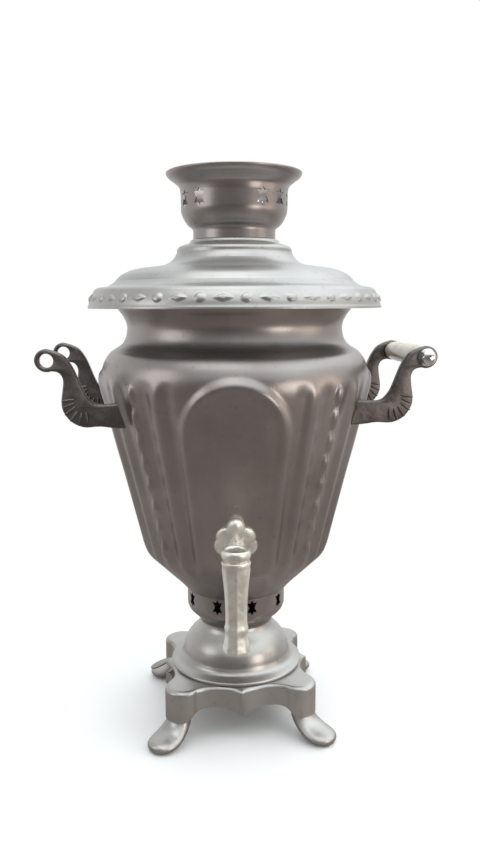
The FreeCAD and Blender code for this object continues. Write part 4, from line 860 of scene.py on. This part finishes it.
half, bevel = bracket["half"], bracket["bevel"]
soft = bevel * bracket["softEdge"]
layers = [(-half, bevel), (-half + soft, soft), (-half + bevel, 0),
          (half - bevel, 0), (half - soft, soft), (half, bevel)]
eyeTurns = [2 * math.pi * j / bracket["around"] for j in range(bracket["around"])]
corners = (("front_left", -1, -1), ("back_left", -1, 1), ("front_right", 1, -1), ("back_right", 1, 1))
for side, signX, signY in corners:
    edge = [[bracketVert(p - n * inset, across, signX, signY) for p, n in zip(bracketPoints, bracketNormals)]
            for across, inset in layers]
    eye = []
    for across, inset in layers:
        radius = bracket["hole"] + inset * bracket["eyeBevel"]
        eye.append([(bracket["reach"] * signX + radius * math.cos(a), bracket["spread"] * signY + across,
                     bracket["z"] + radius * math.sin(a)) for a in eyeTurns])
    around = len(edge[0])
    verts, faces = merge([loft(edge, False, False), loft(eye, False, False)])
    eyeBase = around * len(layers)
    for layer in (0, len(layers) - 1):
        flat = [[Vector((x, z, 0)) for x, y, z in ring[layer]] for ring in (edge, eye)]
        names = list(range(layer * around, (layer + 1) * around))
        names += list(range(eyeBase + layer * len(eyeTurns), eyeBase + (layer + 1) * len(eyeTurns)))
        faces += [tuple(names[k] for k in corner) for corner in tessellate_polygon(flat)]
    piece = outwards(makeMesh("bracket_skin_" + side, *scaled([(verts, faces)])))
    ribs = []
    long, thin, rise = bracket["rib"]
    fanX = (bracket["reach"] - bracket["fan"][0] * bracket["eye"]) * signX
    fanZ = bracket["z"] + bracket["fan"][1] * bracket["eye"]
    for degrees, reach in bracket["fanTurns"]:
        heading = math.radians(degrees)
        away = Vector((-signX * math.cos(heading), 0, math.sin(heading)))
        tangent = Vector((-away.z, 0, away.x))
        for face in (-1, 1):
            middle = Vector((fanX, bracket["spread"] * signY + half * face, fanZ)) + away * (reach - long)
            ribs.append(ellipsoid(middle, away * long, tangent * thin, Vector((0, rise * face, 0))))
    ribPiece = outwards(makeMesh("ribs", *scaled(ribs)))
    joined = bmesh.new()
    joined.from_mesh(piece.data)
    joined.from_mesh(ribPiece.data)
    joined.to_mesh(piece.data)
    joined.free()
    bpy.data.objects.remove(ribPiece)
    for face in piece.data.polygons:
        face.use_smooth = True
    piece.data.set_sharp_from_angle(angle=math.radians(50))
    dress(piece, bracketMetal, "root", "bracket_bronze", "bracket_" + side)


# Form turned about a line along Y, from radius and y in mm
def turnedAlong(name, line, x, z, around=96):
    rings = [[(x + r * math.cos(2 * math.pi * j / around), y, z + r * math.sin(2 * math.pi * j / around))
              for j in range(around)] for r, y in line]
    form = loft(rings, False, False)
    closeRings(form, rings)
    return outwards(makeMesh(name, *scaled([form]), 40))


gripForm = {
    "steps": 6,
    "line": [(6.0, -48.6, 0), (7.2, -48.6, 0), (8.0, -47.0), (8.7, -41), (9.1, -28), (9.2, 0), (9.1, 28),
             (8.7, 41), (8.0, 47.0), (7.2, 48.6, 0), (6.0, 48.6, 0)],
}
gripLine = curveThrough(gripForm["line"], gripForm["steps"])
grip = turnedAlong("gripSkin", gripLine, bracket["reach"], bracket["z"])
dress(grip, ivory, "root", "ivory_plastic", "right_grip")

capForm = {
    "steps": 5,
    "line": [(5.85, 0.1, 0), (7.6, 0.1, 0), (7.7, 0.9), (7.3, 1.6, 0), (6.9, 2.6), (6.2, 4.6), (4.9, 6.2),
             (3.0, 7.2), (0.6, 7.5), (0.02, 7.5, 0), (0.02, 1.8, 0), (5.85, 1.8, 0)],
}
capFoot = bracket["spread"] + bracket["half"]
for side, sign in (("front", -1), ("back", 1)):
    line = [(r, sign * (capFoot + y)) for r, y in curveThrough(capForm["line"], capForm["steps"])]
    cap = turnedAlong("capSkin_" + side, line, bracket["reach"], bracket["z"])
    dress(cap, capChrome, "root", "polished_chrome", "right_cap_nut_" + side)

print("stage: stage and light")
camera = {
    "distance": 713.3, "height": 387.0, "pitch": 8.93, "yaw": 0.36, "roll": -0.2, "standTurn": 4.6,
    "focalPixels": 783.2, "framePixels": 853, "sensor": 36.0, "clip": (0.05, 50),
}
turn = math.radians(-camera["standTurn"])
pitch, yaw = math.radians(camera["pitch"]), math.radians(camera["yaw"])
standTurn = Matrix.Rotation(turn, 3, "Z")
level = math.cos(pitch)
forward = standTurn @ Vector((math.sin(yaw) * level, math.cos(yaw) * level, -math.sin(pitch)))
spot = standTurn @ Vector((0, -camera["distance"], camera["height"]))
lens = bpy.data.cameras.new("photoCamera")
lens.sensor_fit = "VERTICAL"
lens.sensor_height = camera["sensor"]
lens.lens = camera["focalPixels"] * camera["sensor"] / camera["framePixels"]
lens.clip_start, lens.clip_end = camera["clip"]
view = bpy.data.objects.new("photoCamera", lens)
bpy.context.collection.objects.link(view)
roll = Matrix.Rotation(math.radians(camera["roll"]), 4, "Z")
looking = forward.to_track_quat("-Z", "Y").to_matrix().to_4x4()
view.matrix_world = Matrix.Translation(spot * mm) @ looking @ roll
bpy.context.scene.camera = view

# Floor: pale to the camera, with a painted dark warm shade that reflections and bounce light see instead, so
# the metal mirrors a darker ground
floorLook = {
    "size": 2.0, "z": -0.0005, "roughness": 0.9, "colour": (0.95, 0.95, 0.95, 1),
    "paintedShadeInReflections": (0.36, 0.315, 0.295, 1), "fade": (0.12, 0.42),
}
half = floorLook["size"] / 2
floorCorners = [(x * half, y * half, floorLook["z"]) for x, y in ((-1, -1), (1, -1), (1, 1), (-1, 1))]
floor = makeMesh("floor", floorCorners, [(0, 1, 2, 3)])
floorPaint, nodes, links, shader = newMaterial("paleFloorShadedInReflections")
shader.inputs["Roughness"].default_value = floorLook["roughness"]
# Camera rays get the pale colour, all other rays the painted shade colour
rays = nodes.new("ShaderNodeLightPath")
seen = nodes.new("ShaderNodeMix")
seen.data_type = "RGBA"
seen.inputs["A"].default_value = floorLook["paintedShadeInReflections"]
seen.inputs["B"].default_value = floorLook["colour"]
links.new(rays.outputs["Is Camera Ray"], seen.inputs["Factor"])
links.new(seen.outputs["Result"], shader.inputs["Base Color"])
place = nodes.new("ShaderNodeTexCoord")
reach = nodes.new("ShaderNodeVectorMath")
reach.operation = "LENGTH"
links.new(place.outputs["Object"], reach.inputs[0])
fade = nodes.new("ShaderNodeMapRange")
fade.interpolation_type = "SMOOTHSTEP"
fade.inputs["From Min"].default_value = floorLook["fade"][0]
fade.inputs["From Max"].default_value = floorLook["fade"][1]
links.new(reach.outputs["Value"], fade.inputs["Value"])
clear = nodes.new("ShaderNodeBsdfTransparent")
blendOut = nodes.new("ShaderNodeMixShader")
links.new(fade.outputs["Result"], blendOut.inputs["Fac"])
links.new(shader.outputs["BSDF"], blendOut.inputs[1])
links.new(clear.outputs["BSDF"], blendOut.inputs[2])
links.new(blendOut.outputs["Shader"], nodes["Material Output"].inputs["Surface"])
floor.data.materials.append(floorPaint)

studio = {
    "around": [(0.02, (0.15, 0.135, 0.135)), (0.2, (0.23, 0.21, 0.207)), (0.5, (0.56, 0.545, 0.535)),
               (0.98, (0.95, 0.96, 0.97))],
    "skyFrom": (0.1, 0.75), "skyLeft": (0.62, 0.64, 0.64), "skyRight": (2.0, 2.1, 2.15), "sides": (-0.7, 0.7),
    "ground": (0.31, 0.275, 0.255), "groundFrom": (-0.15, -0.6),
}
world = bpy.data.worlds.new("studio")
bpy.context.scene.world = world
world.use_nodes = True
nodes, links = world.node_tree.nodes, world.node_tree.links
nodes.clear()
out = nodes.new("ShaderNodeOutputWorld")
white = nodes.new("ShaderNodeBackground")
white.inputs["Color"].default_value = (1, 1, 1, 1)
room = nodes.new("ShaderNodeBackground")
heading = nodes.new("ShaderNodeTexCoord")
split = nodes.new("ShaderNodeSeparateXYZ")
links.new(heading.outputs["Generated"], split.inputs["Vector"])
around = nodes.new("ShaderNodeValToRGB")
turnY = nodes.new("ShaderNodeMapRange")
turnY.inputs["From Min"].default_value = -1.0
links.new(split.outputs["Y"], turnY.inputs["Value"])
links.new(turnY.outputs["Result"], around.inputs["Fac"])
for position, colour in studio["around"]:
    stop = around.color_ramp.elements.new(position)
    stop.color = (*colour, 1)
around.color_ramp.elements.remove(around.color_ramp.elements[0])
around.color_ramp.elements.remove(around.color_ramp.elements[-1])
above = nodes.new("ShaderNodeMapRange")
above.interpolation_type = "SMOOTHSTEP"
above.inputs["From Min"].default_value = studio["skyFrom"][0]
above.inputs["From Max"].default_value = studio["skyFrom"][1]
links.new(split.outputs["Z"], above.inputs["Value"])
sky = nodes.new("ShaderNodeMix")
sky.data_type = "RGBA"
links.new(above.outputs["Result"], sky.inputs["Factor"])
links.new(around.outputs["Color"], sky.inputs["A"])
side = nodes.new("ShaderNodeMapRange")
side.inputs["From Min"].default_value = studio["sides"][0]
side.inputs["From Max"].default_value = studio["sides"][1]
links.new(split.outputs["X"], side.inputs["Value"])
overhead = nodes.new("ShaderNodeMix")
overhead.data_type = "RGBA"
overhead.inputs["A"].default_value = (*studio["skyLeft"], 1)
overhead.inputs["B"].default_value = (*studio["skyRight"], 1)
links.new(side.outputs["Result"], overhead.inputs["Factor"])
links.new(overhead.outputs["Result"], sky.inputs["B"])
below = nodes.new("ShaderNodeMapRange")
below.interpolation_type = "SMOOTHSTEP"
below.inputs["From Min"].default_value = studio["groundFrom"][0]
below.inputs["From Max"].default_value = studio["groundFrom"][1]
links.new(split.outputs["Z"], below.inputs["Value"])
ground = nodes.new("ShaderNodeMix")
ground.data_type = "RGBA"
ground.inputs["B"].default_value = (*studio["ground"], 1)
links.new(below.outputs["Result"], ground.inputs["Factor"])
links.new(sky.outputs["Result"], ground.inputs["A"])
links.new(ground.outputs["Result"], room.inputs["Color"])
rays = nodes.new("ShaderNodeLightPath")
pick = nodes.new("ShaderNodeMixShader")
links.new(rays.outputs["Is Camera Ray"], pick.inputs["Fac"])
links.new(room.outputs["Background"], pick.inputs[1])
links.new(white.outputs["Background"], pick.inputs[2])
links.new(pick.outputs["Shader"], out.inputs["Surface"])

lampAim = Vector((0, 0, 0.25))
lamps = {
    "overhead": {"spot": (-0.25, -0.35, 1.5), "size": 1.1, "power": 3.2, "colour": (1, 1, 1)},
    "leftSide": {"spot": (-1.3, -0.5, 0.7), "size": 0.8, "power": 2.6, "colour": (0.97, 0.98, 1)},
    "lowRight": {"spot": (0.85, -0.95, 0.22), "size": 0.5, "power": 2.6, "colour": (1, 0.92, 0.85)},
    "rightSide": {"spot": (1.25, -0.35, 0.35), "size": 0.6, "power": 1.3, "colour": (1, 0.82, 0.68)},
}
for name, lamp in lamps.items():
    data = bpy.data.lights.new(name, "AREA")
    data.shape = "DISK"
    data.size = lamp["size"]
    data.energy = lamp["power"]
    data.color = lamp["colour"]
    light = bpy.data.objects.new(name, data)
    bpy.context.collection.objects.link(light)
    light.location = lamp["spot"]
    light.rotation_euler = (lampAim - Vector(lamp["spot"])).to_track_quat("-Z", "Y").to_euler()

bpy.context.scene.view_settings.view_transform = "Standard"
